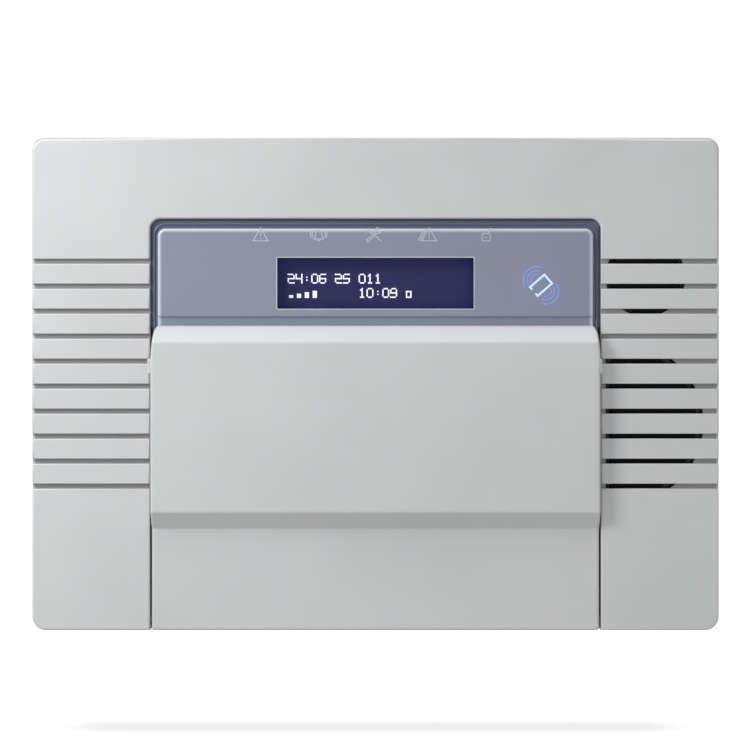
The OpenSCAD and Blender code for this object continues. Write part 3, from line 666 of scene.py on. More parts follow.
BLACK = moulded("black_plastic", (34, 34, 37), 0.48, vary=0.15)
CHIP = moulded("chip_resin", (40, 40, 42), 0.62, 0.00004, 0.12)
CERAMIC = moulded("ceramic_body", (214, 196, 158), 0.5, vary=0.08)
RELAY = moulded("relay_plastic", (36, 62, 140), 0.36, vary=0.08)
SLEEVE = moulded("capacitor_sleeve", (38, 42, 62), 0.3, vary=0.1, coat=0.3)
TERMINAL = moulded("terminal_plastic", (34, 118, 74), 0.42, vary=0.08)
NYLON = moulded("mains_plastic", (228, 227, 220), 0.44, vary=0.05, specks=True)
RED = moulded("red_plastic", (196, 58, 42), 0.38, vary=0.08)
STRAP = moulded("strap_plastic", (214, 215, 218), 0.5, vary=0.05, specks=True)
WRAP = moulded("battery_wrap", (38, 118, 84), 0.28, 0.00005, 0.1, 700, specks=True, coat=0.3)
RED_WIRE = moulded("red_lead", (176, 32, 30), 0.4, vary=0.08)
BLACK_WIRE = moulded("black_lead", (32, 32, 34), 0.42, vary=0.1)
ANTENNA = moulded("antenna_wire", (214, 190, 78), 0.36, vary=0.08)
RIBBON = moulded("ribbon_plastic", (160, 163, 170), 0.42, vary=0.05)
STRIPE = moulded("ribbon_stripe", (178, 52, 48), 0.42, vary=0.06)
PAPER = moulded("cone_paper", (38, 38, 40), 0.85, 0.00012, 0.25, 1500)
# a dust gauze whose near-black colour also stands in for the shade behind the siren's slots
GAUZE_AND_SHADE = moulded("gauze_and_shade", (22, 22, 24), 0.9, 0.0002, 0.3, 2000)
FERRITE = moulded("ferrite", (62, 62, 66), 0.7, 0.00008, 0.2)
BACKLIGHT = moulded("backlight_plastic", (232, 233, 236), 0.3, vary=0.03)
COVER = moulded("cover_plastic", (206, 207, 208), 0.40, specks=True, coat=0.12, recess_shade=0.62)
CASE = moulded("case_plastic", (203, 204, 205), 0.46, specks=True)
FASCIA = moulded("fascia_plastic", (196, 198, 200), 0.5, 0.00003, specks=True)
KEYCAP = moulded("key_plastic", (222, 223, 224), 0.38, coat=0.15)
RESIN = clear("led_resin", (226, 232, 246), 0.75, 0.12)
GLASS = clear("fuse_glass", (150, 160, 158), 0.16)
CLEAR = clear("window_pane", (40, 42, 80), 0.06)
RUBBER = rubber("black_rubber", (32, 32, 34))
BOARD = circuit_board("green_board")
TIN = metal("tinned_metal", (196, 198, 202))
STEEL = metal("zinc_steel", (176, 180, 186), 0.34)
SPRING = metal("spring_steel", (150, 152, 158), 0.26)
GILT = metal("gilt_pins", (222, 184, 104), 0.24)
BRASS = metal("brass", (206, 170, 92))
FUSE_METAL = metal("fuse_metal", (176, 178, 182))
LCD_METAL = metal("lcd_metal", (92, 94, 98), 0.42)
BLACK_METAL = metal("painted_basket", (50, 51, 54), 0.5)
COPPER = metal("coil_copper", (196, 112, 66), vary=0.18)
LAMINATED = banded("core_steel", (96, 94, 92), (44, 42, 42), 0.0005, 0.45, 0.75)
TAPE = banded("winding_tape", (206, 164, 70), (168, 128, 48), 0.0075, 0.36)
INK_WHITE = print_ink("white_ink", (216, 218, 220))
INK = print_ink("legend_ink", (52, 58, 74))
INKS = {key: print_ink(key + "_ink", colour)
        for key, colour in (("cancel", (186, 42, 40)), ("accept", (24, 128, 70)), ("alarm", (186, 42, 40)))}
LCD = glow("lcd_field", (20, 17, 76), 0.36, 0.04)
DOTS = glow("lcd_dots", (235, 240, 252), 0.95, 0.03)
ICON = glow("icon_print", (190, 194, 208), 0.1, 0.06)
TAG_LIGHT = glow("tag_light", (176, 208, 252), 0.62, 0.05)
TAG_WAVE = glow("tag_wave", (122, 136, 224), 0.4, 0.08)


# ---- Front cover ----

def smoothstep(a, b, v):
    """0 below a and 1 above b, with smooth ends."""
    t = min(1, max(0, (v - a) / (b - a)))
    return t * t * (3 - 2 * t)


def cover_envelope():
    """The cover's outer form, closed and without openings. Along the top, the front edge is a narrow fillet in the
    middle that widens into a sloping band towards the corners."""
    margin = 0.015                       # how far the envelope stays inside the CAD cover
    outline = rounded_rect(*inset((-HALF_W, HALF_W, BOTTOM, TOP), margin), (6.0, 5.3), 10)
    dense = []
    for i, a in enumerate(outline):
        b = outline[(i + 1) % len(outline)]
        pieces = max(1, int(math.dist(a, b) // 9))
        dense += [(a[0] + (b[0] - a[0]) * k / pieces, a[1] + (b[1] - a[1]) * k / pieces) for k in range(pieces)]
    columns = []
    for i, (x, z) in enumerate(dense):
        t = (Vector(dense[(i + 1) % len(dense)]) - Vector(dense[i - 1])).normalized()
        at_top = smoothstep(TOP - 6, TOP - 1, z)
        corner = at_top * smoothstep(48, 138, abs(x))
        width = 1.15 - 0.65 * at_top + 1.1 * corner
        columns.append((x, z, -t.y, t.x, width, width * (1 - 0.25 * corner), 0.8 * corner))
    rings = [[(x, -6, z) for x, z in dense]]
    for k, a in enumerate(quarter(6)):
        ring = []
        for x, z, nx, nz, width, drop, flat in columns:
            u = width * ((1 - math.cos(a)) * (1 - flat) + k / 6 * flat)
            d = FRONT - margin - drop + drop * (math.sin(a) * (1 - flat) + k / 6 * flat)
            ring.append((x + nx * u, d, z + nz * u))
        rings.append(ring)
    return loft("envelope", rings)


def lip(r, steps, out, low, face):
    """(outward, depth) points of a tool that rounds an edge: up from depth low, round the lip and past the face."""
    return ([(out, low)] + [(out + r * (1 - math.cos(a)), face - r + r * math.sin(a)) for a in quarter(steps)]
            + [(out + r, face + 1)])


def groove_tool(z, side):
    """Rounds one groove's lips, more below than above, from the opening out through the cover's side."""
    above, below = (lip(r, 4, GROOVE_W / 2 + 0.008, FRONT - 2 + 0.01, FRONT) for r in (0.28, 0.8))
    section = [(d, z + h) for h, d in above] + [(d, z - h) for h, d in reversed(below)]
    x0, x1 = (OPEN_X - 2, HALF_W + 2) if side > 0 else (-HALF_W - 2, -OPEN_X + 2)
    return bar("tool", section, x0, x1)


def opening_tool():
    """Rounds the front opening's edge."""
    return loft("tool", [[(x, d, z) for x, z in rounded_rect(-OPEN_X - out, OPEN_X + out, BOTTOM - 8, OPEN_TOP + out,
                                                             (1, 4.5 + out), 8)]
                         for out, d in lip(1.15, 6, 0.01, FRONT - 2.4, FRONT)])


def front_cover():
    shell = cad_copy("front_cover_shell", "front_cover")
    boolean(shell, cover_envelope(), "INTERSECT")
    boolean(shell, opening_tool())
    for z in GROOVES:
        for side in (-1, 1):
            boolean(shell, groove_tool(z, side))
    merge_flats(paint(shell, COVER))
    place(smooth(shell, 32), "lid", "cover_plastic", "front_cover")


# ---- Flap ----

FLAP_EDGE = 1.25                         # radius of the fillet all round the flap's front
FLAP_CORNER = (2.3, 4.6)                 # half axes of its upper corners
FLAP_FOOT = 1.2                          # radius of its lower corners
FLAP_WALL = 2.5
# Front line of the flap as (z, depth) points, from the top edge down.
FLAP_LINE = filleted([(FLAP_TOP + 0.001, FRONT - 0.2), (FLAP_TOP - 7.4, FLAP_FRONT), (APRON_TOP + 7.3, FLAP_FRONT),
                      (APRON_TOP, FRONT), (BOTTOM, FRONT)], [2.2, 1.5, 1.2], 6)


def flap_half_width(z):
    across, down = FLAP_CORNER
    over = min(max((z - FLAP_TOP + down) / down, 0), 1)
    under = min(max((BOTTOM + FLAP_FOOT - z) / FLAP_FOOT, 0), 1)
    lean = 1.0 * smoothstep(FLAP_TOP - 15, FLAP_TOP, z)
    return (FLAP_HALF - lean - across * (1 - math.sqrt(1 - over ** 2))
            - FLAP_FOOT * (1 - math.sqrt(1 - under ** 2)))


def flap_depth(x, z):
    """Depth of the flap's front at a place, where its edge's fillet lowers it too."""
    line = FLAP_LINE[::-1]
    away = max(min(flap_half_width(z) - abs(x), FLAP_TOP - z, z - BOTTOM), 0)
    drop = FLAP_EDGE - math.sqrt(max(FLAP_EDGE ** 2 - (FLAP_EDGE - away) ** 2, 0)) if away < FLAP_EDGE else 0.0
    return float(np.interp(z, [p[0] for p in line], [p[1] for p in line])) - drop


def flap_skin():
    """The flap's solid front: a grid of rows and columns, closed by walls and a flat back."""
    zs = {p[0] for p in FLAP_LINE if p[0] <= FLAP_TOP} | {FLAP_TOP, BOTTOM}
    zs |= {FLAP_TOP - 6 - k * 1.5 for k in range(7)}
    for s in (1 - math.sin(a) for a in quarter(10)):
        zs |= {FLAP_TOP - r * s for r in (FLAP_CORNER[1], FLAP_EDGE)}
        zs |= {BOTTOM + r * s for r in (FLAP_FOOT, FLAP_EDGE)}
    rows = sorted({round(z, 4) for z in zs if BOTTOM <= z <= FLAP_TOP + 1e-9})
    rows = [z for i, z in enumerate(rows) if i == 0 or z - rows[i - 1] > 0.02 or z == rows[-1]]
    rim = [FLAP_EDGE * (1 - math.sin(a)) for a in quarter(7)]
    verts, n, last = [], 2 * len(rim), len(rows) - 1
    for z in rows:
        w = flap_half_width(z)
        verts += [(x, flap_depth(x, z), z) for x in [-w + e for e in reversed(rim)] + [w - e for e in rim]]
    faces = [(a, a + 1, a + n + 1, a + n) for i in range(last) for a in range(i * n, i * n + n - 1)]
    border = (list(range(n)) + [i * n + n - 1 for i in range(1, last + 1)]
              + [last * n + k for k in range(n - 2, -1, -1)] + [i * n for i in range(last - 1, 0, -1)])
    start = len(verts)
    verts += [(verts[b][0], FRONT - FLAP_WALL, verts[b][2]) for b in border]
    for i, b in enumerate(border):
        j = (i + 1) % len(border)
        faces.append((b, border[j], start + j, start + i))
    faces.append(tuple(start + i for i in range(len(border))))
    return mesh("keypad_flap_shell", verts, faces)


def flap():
    skin = flap_skin()
    inner = FLAP_FRONT - FLAP_WALL
    cavity = [(FRONT - 4, FLAP_TOP - 2.6), (inner, FLAP_TOP - 8.6), (inner, APRON_TOP + 7.6),
              (FRONT - 4, APRON_TOP + 0.2)]
    boolean(skin, bar("tool", cavity, -FLAP_HALF + 2.3, FLAP_HALF - 2.3))
    back, low, high = FRONT - 9.1, BOTTOM + 0.02, BOTTOM + 2.2
    lower_lip = filleted([(FRONT - 2.7, high), (back, high), (back, low), (FRONT - 2.0, low), (FRONT - 2.0, high)],
                         [0.5, 0.5, 0], 3)
    boolean(skin, bar("tool", lower_lip, -FLAP_HALF + 0.3, FLAP_HALF - 0.3), "UNION")
    for edge in (-FLAP_HALF, FLAP_HALF):
        grip = (edge - 1.4, edge + 0.8, FLAP_TOP - 21.1, FLAP_TOP - 14.5)
        boolean(skin, rounded_plate("tool", grip, FRONT + 1.6, FLAP_FRONT - 0.7, 0.8, 0.7, 0.5), "UNION")
    for x in (-101, 91):                 # the CAD flap's hinge ears
        ear = cad_copy("ear", "keypad_flap")
        boolean(ear, rounded_plate("tool", (x, x + 10, BOTTOM + 2.3, BOTTOM + 9), FRONT - 9, FRONT - 2.2, 0.02),
                "INTERSECT")
        boolean(skin, ear, "UNION")
    merge_flats(paint(skin, COVER))
    place(smooth(skin, 28), "flap", "cover_plastic", "keypad_flap")


# ---- Display ----

def lens_material():
    """Tinted translucent plastic with painted light: a painted highlight along the raised panel's rim, dark in the
    channel around it, painted shade in the gap at the cover's edge, and a painted blue glow around the tag symbol.
    The masks are distances in the object's own frame."""
    m = Nodes("lens_plastic")
    x, _, z = m.axes()
    corner = 0.0034
    across = m.math("ABSOLUTE", x)
    side = m.math("MAXIMUM", m.math("SUBTRACT", across, PLATEAU_X * MM - corner), 0.0)
    upper = m.math("MAXIMUM", m.math("SUBTRACT", z, PLATEAU_Z[1] * MM - corner), 0.0)
    reach = m.math("SQRT", m.math("ADD", m.math("POWER", side, 2.0), m.math("POWER", upper, 2.0)))
    edge = m.math("SUBTRACT", corner, reach)
    rim = m.times(m.blend(edge, -0.0001, 0.0004), m.blend(edge, 0.0022, 0.0006))
    inside = m.blend(edge, -0.0003, 0.0001)
    ledge = m.blend(z, (PLATEAU_Z[0] + 0.4) * MM, (PLATEAU_Z[0] - 0.9) * MM)
    # painted shade in the gap between the lens and the cover's opening
    gap_shade = m.math("MAXIMUM", m.blend(across, (OPEN_X - 1.1) * MM, (OPEN_X - 0.5) * MM),
                 m.blend(z, (OPEN_TOP - 1.0) * MM, (OPEN_TOP - 0.4) * MM))
    tone = m.mix(m.noise(24, 2), linear((136, 141, 159)), linear((142, 147, 165)))
    tone = m.mix(ledge, tone, linear((131, 136, 157)))
    channel = m.mix(gap_shade, linear((100, 105, 128)), linear((54, 56, 78)))
    tone = m.mix(inside, channel, tone)
    # painted highlight: a pale colour along the raised panel's rim
    tone = m.mix(m.times(rim, 0.7), tone, linear((220, 225, 238)))
    near = m.add("ShaderNodeVectorMath", operation="DISTANCE")
    m.feed(near, ((0, m.place), (1, (TAG[0] * MM, -FRONT * MM, TAG[1] * MM))))
    # painted blue glow from the tag symbol on the lens around it
    halo = m.blend(near.outputs["Value"], 0.019, 0.003)
    m.colour(m.mix(m.times(halo, 0.1), tone, linear((140, 150, 215))))
    m.gloss(m.noise(16, 2), 0.27, 0.31, 0.2, 0.8)
    m.bump(m.noise(2200), 0.2, 0.000008)
    m.set(Coat_Weight=0.2, Coat_Roughness=0.2, IOR=1.49)
    return m.material


def lens():
    sheet = (-OPEN_X - 1.8, OPEN_X + 1.8, FLAP_TOP - 0.8, OPEN_TOP + 1.8)
    base = sheet[2]
    body = rounded_plate("display_lens_body", sheet, FRONT - 5, FRONT - 2.55, 2)
    step = (-PLATEAU_X, PLATEAU_X, base + 0.4, PLATEAU_Z[1])
    boolean(body, rounded_plate("tool", step, FRONT - 3.5, FRONT - 0.9, (0.6, 3.4), 0.9, n=8), "UNION")
    boolean(body, rounded_plate("tool", PLATEAU, FRONT - 3.5, FRONT + 0.3, (1.2, 3.4), 1.3, n=8, steps=7), "UNION")
    bead = rounded_rect(-PLATEAU_X - 1.55, PLATEAU_X + 1.55, base - 6, PLATEAU_Z[1] + 2.0, (1, 4.9), 10)
    boolean(body, ring_tube("tool", bead, FRONT - 2.45, 0.55), "UNION")
    wall = prism("wall", rounded_rect(*inset(sheet, 0.01), 2), FRONT - 16.4, FRONT - 4.9)
    boolean(wall, prism("tool", rounded_rect(*inset(sheet, 2), 1), FRONT - 20, FRONT))
    boolean(body, wall, "UNION")
    boolean(body, prism("tool", rounded_rect(*inset(PLATEAU, 2.2), 2), FRONT - 8, FRONT - 2.1))
    boolean(body, prism("tool", window_outline(0), FRONT - 9, FRONT + 2))
    merge_flats(paint(body, lens_material()))
    border = stroke("border", window_outline(0.15), 0.42, FRONT + 0.28, FRONT + 0.33,
                    print_ink("window_border", (186, 193, 205)), True)
    fit("display_lens_body", [body, border], "lid", "lens_plastic", "display_lens", 32)
    place(rounded_plate("window_pane", inset(WINDOW, 0.05), FRONT - 1.6, FRONT - 0.5, 0.4, 0.2, 0.2, CLEAR),
          "lid", "lens_plastic", "display_lens")


def window_outline(grow):
    """The display window's outline, grown on every side."""
    return rounded_rect(*inset(WINDOW, -grow), 0.4, 3)


def dot_digit(digit):
    """The lit (column, row) cells of a digit on a 5 by 7 grid, made from seven segments with rounded corners."""
    if digit == 1:
        return {(2, r) for r in range(7)} | {(1, 5), (1, 0), (3, 0)}
    segments = {0: "abcdef", 2: "abged", 3: "abgcd", 4: "fgbc", 5: "afgcd", 6: "afgedc", 7: "abc", 8: "abcdefg",
                9: "abcdfg"}[digit]
    cells = {"a": [(c, 6) for c in range(5)], "g": [(c, 3) for c in range(5)], "d": [(c, 0) for c in range(5)],
             "f": [(0, r) for r in range(3, 7)], "b": [(4, r) for r in range(3, 7)],
             "e": [(0, r) for r in range(0, 4)], "c": [(4, r) for r in range(0, 4)]}
    lit = {cell for s in segments for cell in cells[s]}
    corners = {(0, 6): "af", (4, 6): "ab", (0, 0): "de", (4, 0): "cd"}
    return lit - {corner for corner, pair in corners.items() if all(s in segments for s in pair)}


def lcd():
    """The glass with its lit field, and two rows of dot-matrix marks: digits, bars and a small box."""
    x, (d0, d1), z = span("lcd_glass")
    parts = [rounded_plate("lcd_glass_stack", (*x, *z), d0, d1 - 0.05, 0.6, 0.25, 0.25, LCD)]
    dot, dot_pitch, left, advance = 0.56, 0.62, -38.2, 3.43
    shapes = {":": {(2, 4), (2, 2)}, " ": set(),
              "box": {(c, r) for c in range(4) for r in range(5) if c in (0, 3) or r in (0, 4)}}
    bars = ["bar%d" % i for i in range(1, 5)]
    shapes.update({bar_name: {(c, r) for c in (1, 2, 3) for r in range(i + 2)} for i, bar_name in enumerate(bars)})
    for base, marks in ((LCD_Z + 0.1, [2, 4, ":", 0, 6, " ", 2, 5, " ", 0, 1, 1]),
                        (LCD_Z - 6.1, bars + [" "] * 5 + [1, 0, ":", 0, 9, " ", "box"])):
        for column, mark in enumerate(marks):
            for c, r in shapes[mark] if mark in shapes else dot_digit(mark):
                x, z = left + column * advance + c * dot_pitch, base + r * dot_pitch
                parts.append(rounded_plate("dot", (x, x + dot, z, z + dot), d1 - 0.06, d1 + 0.04, 0.05, 0, 0,
                                           DOTS, 1))
    place(join("lcd_glass_stack", parts), "lid", "lcd_glass", "lcd_glass")


def bell(half, clapper):
    """A bell with its clapper, by the half width of its dome and the clapper's radius."""
    waist, foot = half + 0.02, half * 2 - 0.06
    flare = [(waist, -0.14), (foot, -0.3), (-foot, -0.3), (-waist, -0.14)]
    return [around(arc(0, 0.12, half, 180, 0, 10) + flare), arc(0, -0.3, clapper, 180, 360, 6)]


def icons():
    """Five status symbols along the top of the lens, and the tag symbol: a tilted card between two sets of arcs."""
    triangle = [around([(-0.5, -0.42), (0.5, -0.42), (0, 0.46)]), [(0, 0.16), (0, -0.12)], [(0, -0.22), (0, -0.3)]]
    rings = [arc(0, 0.05, r, a - 32, a + 32, 8) for r in (0.44, 0.56) for a in (0, 180)]
    spanner = around([(-0.5, -0.36), (0.1, 0.12)] + arc(0.26, 0.26, 0.2, 205, 75, 8) + [(0.24, 0.27), (0.36, 0.17)]
                     + arc(0.26, 0.26, 0.2, 5, -115, 8) + [(-0.4, -0.5)])
    driver = [(0.5, -0.46), (-0.02, 0.02), (-0.14, 0.02), (-0.44, 0.36), (-0.36, 0.44), (-0.06, 0.12), (-0.06, 0.02)]
    slashes = [[(-0.62, -0.42), (-0.16, 0.42)], [(-0.76, -0.42), (-0.34, 0.34)]]
    shackle = [(0.18, 0.08)] + arc(0.38, 0.3, 0.2, 180, 0, 8)
    padlock = [around(rounded_rect(-0.32, 0.32, -0.5, 0.08, 0.06, 2)), shackle, [(0, -0.15), (0, -0.32)]]
    row, size, parts = PLATEAU_Z[1] - 2.75, 6.4, []
    for x, scale, lines in ((-49.6, size, triangle), (-24.5, size, bell(0.2, 0.12) + rings),
                            (-0.65, size, [spanner, driver]), (23.2, size, triangle + slashes),
                            (47.8, size - 1, padlock)):
        parts += drawing("icon", lines, (x, row), scale, 0.34, PRINT_D, ICON)
    place(join("status_icons", parts), "lid", "lens_plastic")
    card = placed([(-1.1, -4.1), (-2.5, -4.1), (-2.5, 4.1), (2.5, 4.1), (2.5, -4.1), (1.1, -4.1)], (0, 0), 1, -49)
    waves = [arc(s * 1.95, s * -2.4, r, 68 + 90 * (1 + s), 212 + 90 * (1 + s), 18)
             for s in (-1, 1) for r in (2.4, 3.9, 5.7)]
    for name, lines, width, material in (("card", [card], 0.85, TAG_LIGHT), ("waves", waves, 0.5, TAG_WAVE)):
        place(join("tag_symbol_" + name, drawing(name, lines, TAG, 1, width, PRINT_D, material)), "lid",
              "lens_plastic")


# ---- Keypad ----

def digit_lines(digit):
    """A digit as lines in a box 0.6 wide and 1 high about the origin."""
    six = [arc(0, -0.2, 0.28, 0, 360, 20), [(-0.27, -0.12)] + arc(0.16, -0.06, 0.43, 160, 95, 6, 0.56)]
    return {
        "0": [arc(0, 0, 0.28, 0, 360, 28, 0.5)],
        "1": [[(-0.16, 0.28), (0.04, 0.5), (0.04, -0.5)]],
        "2": [arc(0, 0.23, 0.26, 165, -35, 12) + [(-0.28, -0.5), (0.29, -0.5)]],
        "3": [arc(0, 0.25, 0.24, 150, -85, 12) + arc(0, -0.24, 0.27, 85, -150, 12)],
        "4": [[(0.14, -0.5), (0.14, 0.5), (-0.29, -0.2), (0.31, -0.2)]],
        "5": [[(0.24, 0.5), (-0.2, 0.5), (-0.24, 0.06)] + arc(0, -0.19, 0.3, 125, -150, 12)],
        "6": six,
        "7": [[(-0.27, 0.5), (0.27, 0.5), (-0.08, -0.5)]],
        "8": [arc(0, 0.25, 0.22, 0, 360, 18), arc(0, -0.23, 0.27, 0, 360, 18)],
        "9": [[(-x, -z) for x, z in line] for line in six],
    }[digit]


def legend_lines(key):
    up = [[(0, -0.45), (0, 0.45)], [(-0.32, 0.12), (0, 0.45), (0.32, 0.12)]]
    return {
        "up": up,
        "down": [[(x, -z) for x, z in line] for line in up],
        "menu": [[(-0.42, z), (0.42, z)] for z in (0.32, 0, -0.32)],
        "cancel": [[(-0.36, s * -0.36), (0.36, s * 0.36)] for s in (1, -1)],
        "accept": [[(-0.42, 0.02), (-0.12, -0.34), (0.44, 0.36)]],
        "alarm": bell(0.22, 0.13),
    }.get(key) or digit_lines(key)


def keys():
    for name in KEY_ORDER:
        x, (d0, d1), z = span(name)
        outer, key = (*x, *z), name[len("key_"):]
        cap = inset(outer, 1.4)
        parts = [rounded_plate("flange", outer, d0, d0 + 1.2, 5, 0.2, 0.1, KEYCAP),
                 rounded_plate("cap", cap, d0 + 0.6, d1 - 0.5, 4, 0.9, 0, KEYCAP, 8, 5),
                 rounded_plate("dish", inset(cap, 1.1), d1 - 1.5, d1, 2.9, 0.5, 0, KEYCAP, 8, 5)]
        cx, _, cz = middle(x, z)
        parts += drawing("ink", legend_lines(key), (cx, cz), 5.2, 0.78, (d1 - 0.1, d1 + 0.02), INKS.get(key, INK))
        fit(name + "_cap", parts, name, "key_plastic", name, 32)


def fascia():
    """The plate around the keys: every aperture's edge is rounded, and a fine line frames the key field."""
    plate = cad_copy("keypad_fascia_plate", "keypad_fascia")
    front = span("keypad_fascia")[1][1]
    tools = []
    for name in KEY_ORDER:
        x, _, z = span(name)
        aperture = inset((*x, *z), 1.0)
        tools.append(loft("tool", [[(px, d, pz) for px, pz in rounded_rect(*inset(aperture, -out), 4.4 + out, 8)]
                                   for out, d in lip(0.7, 4, 0.008, front - 1, front)]))
    boolean(plate, join("tool", tools))
    merge_flats(paint(plate, FASCIA))
    key_field = rounded_rect(-91.5, 91.5, -54.5, 22.2, 4, 6)
    line = stroke("line", key_field, 0.4, front - 0.02, front + 0.02, print_ink("fascia_line", (120, 128, 150)), True)
    fit("keypad_fascia_plate", [plate, line], "lid", "fascia_plastic", "keypad_fascia", 32)


def key_mat():
    x, (d0, d1), z = span("key_mat")
    parts = [rounded_plate("mat", (*x, *z), d0, d1, 3, 0.3, 0.1, RUBBER)]
    dome = [(6.2, d1 - 0.2), (5.6, d1 + 0.1), (3.6, d1 + 0.25), (2.4, d1 + 0.3), (0, d1 + 0.3)]
    for name in KEY_ORDER:
        x, _, z = span(name)
        parts.append(revolve("dome", middle(x, z), dome, RUBBER, 28))
    fit("key_mat_sheet", parts, "lid", "black_rubber", "key_mat", 32)


# ---- Fixings ----

def cross_screw(at, tip, seat, shank_r, head_r, head_h):
    """A pan-head screw with a cross recess and a helical thread, from its tip to the seat under its head."""
    s = 1 if seat > tip else -1
    pan = ((1, 0), (1, 0.35), (0.93, 0.62), (0.72, 0.86), (0.4, 0.985), (0, 1))
    head = revolve("head", (at[0], seat, at[1]), [(head_r * r, s * head_h * h) for r, h in pan], n=28)
    for turn in (45, 135):
        rings = []
        for d, long, wide in ((seat + s * (head_h + 0.2), 1, 1), (seat + s * head_h * 0.35, 0.5, 0.6)):
            a, b = head_r * 0.56 * long, head_r * 0.15 * wide
            rings.append([(x, d, z) for x, z in placed([(-a, -b), (a, -b), (a, b), (-a, b)], at, 1, turn)])
        boolean(head, loft("tool", rings))
    pitch, sides, steps = shank_r * 0.7, 18, 6
    length = abs(seat - tip)
    count = int(length / pitch * steps)
    rings = []
    for t in (i / count for i in range(count + 1)):
        taper = min(1, 0.45 + 0.55 * t * length / (shank_r * 2.2))
        ring = []
        for k, a in enumerate(circle(sides)):
            phase = (t * length / pitch - k / sides) % 1
            r = shank_r * taper * (0.78 + 0.22 * (1 - abs(2 * phase - 1)))
            ring.append((at[0] + r * math.cos(a), tip + (seat - tip) * t, at[1] + r * math.sin(a)))
        rings.append(ring)
    return paint(join("screw", [head, loft("shank", rings)]), STEEL)


def screws(name, node, body, shank_r, head_r, head_h, from_back=False):
    """Detailed screws where the node's solids stand. from_back puts their heads at the small depth."""
    parts = []
    for (cx, _, cz), _, d0, d1 in round_solids(node):
        tip, seat = (d1, d0 + head_h) if from_back else (d0, d1 - head_h)
        parts.append(cross_screw((cx, cz), tip, seat, shank_r, head_r, head_h))
    fit(name, parts, body, "zinc_steel", node)


# ---- Electronics ----

def leads(x, z, d, count, pitch, tall):
    """Gull-wing legs along the two long sides of a chip that stands on depth d."""
    parts = []
    upright = z[1] - z[0] > x[1] - x[0]
    wide, long = (x, z) if upright else (z, x)
    for i in range(count):
        at = (long[0] + long[1]) / 2 + (i - (count - 1) / 2) * pitch
        for edge, s in ((wide[0], -1), (wide[1], 1)):
            rings = []
            for out, h in ((-0.2, tall * 0.55), (0.35, tall * 0.5), (0.55, 0.12), (1.1, 0.1)):
                ring = [(edge + s * out, d + h + u, at + v)
                        for u, v in ((-0.08, -0.17), (0.08, -0.17), (0.08, 0.17), (-0.08, 0.17))]
                rings.append([(p, q, r) if upright else (r, q, p) for p, q, r in ring])
            parts.append(loft("leg", rings, TIN))
    return parts


def microchips():
    parts = []
    for x, (d0, d1), z in islands("microchips"):
        parts.append(rounded_plate("body", (*x, *z), d0 + 0.15, d1, 0.15, 0.14, 0.1, CHIP, 2, 2))
        dimple = [(0.45, d1 - 0.02), (0.45, d1 + 0.012), (0, d1 + 0.012)]
        parts.append(revolve("dimple", (x[0] + 1.1, 0, z[1] - 1.1), dimple, BLACK, 14))
        long = max(x[1] - x[0], z[1] - z[0])
        pitch = 0.8 if long > 12 else 1.27
        parts += leads(x, z, d0, int((long - 1) / pitch), pitch, d1 - d0)
    fit("microchip_set", parts, "case", "black_plastic", "microchips")


SMALL_KINDS = {"resistor": (0.5, BLACK), "capacitor": (0.85, CERAMIC), "transistor": (0.95, CHIP)}


def small_parts(name, body, area, d, side, avoid, count, seed):
    """Surface-mounted resistors, capacitors and transistors on a grid, where nothing else stands."""
    rng = random.Random(seed)
    (ax0, ax1), (az0, az1) = area
    grid, room, cut = 2.5, 1.6, 0.36     # cut is the width of a part's tinned ends
    parts, taken = [], list(avoid)
    for _ in range(count * 6):
        if count <= 0:
            break
        x = round(rng.uniform(ax0, ax1) / grid) * grid
        z = round(rng.uniform(az0, az1) / grid) * grid
        turned = rng.random() < 0.5
        tall, material = SMALL_KINDS[rng.choice(("resistor", "resistor", "capacitor", "transistor"))]
        hw, hh = (0.65, 1.05) if turned else (1.05, 0.65)
        if any(x0 - room < x < x1 + room and z0 - room < z < z1 + room for x0, x1, z0, z1 in taken):
            continue
        taken.append((x - hw, x + hw, z - hh, z + hh))
        count -= 1
        lo, hi = sorted((d, d + side * tall))
        wide, high = (x - hw, x + hw), (z - hh, z + hh)
        inner = (*wide, high[0] + cut, high[1] - cut) if turned else (wide[0] + cut, wide[1] - cut, *high)
        parts.append(rounded_plate("part", inner, lo, hi, 0.06, 0.05, 0.05, material, 1, 1))
        for s in (-1, 1):
            cx, cz = x + s * (hw - cut / 2), z + s * (hh - cut / 2)
            end = (*wide, cz - cut / 2, cz + cut / 2) if turned else (cx - cut / 2, cx + cut / 2, *high)
            parts.append(rounded_plate("end", end, lo, hi, 0.06, 0.05, 0.05, TIN, 1, 1))
        pad = (x - hw - 0.15, x + hw + 0.15, z - hh - 0.35, z + hh + 0.35)
        lo, hi = sorted((d - side * 0.02, d + side * 0.04))
        parts.append(rounded_plate("pad", pad, lo, hi, 0.2, 0, 0, TIN, 2))
    place(join(name, parts), body, "black_plastic")


def footprints(node, margin=0.6):
    """The boxes that a node's solids cover on their board, with a margin."""
    return [inset((*x, *z), -margin) for x, _, z in islands(node)]


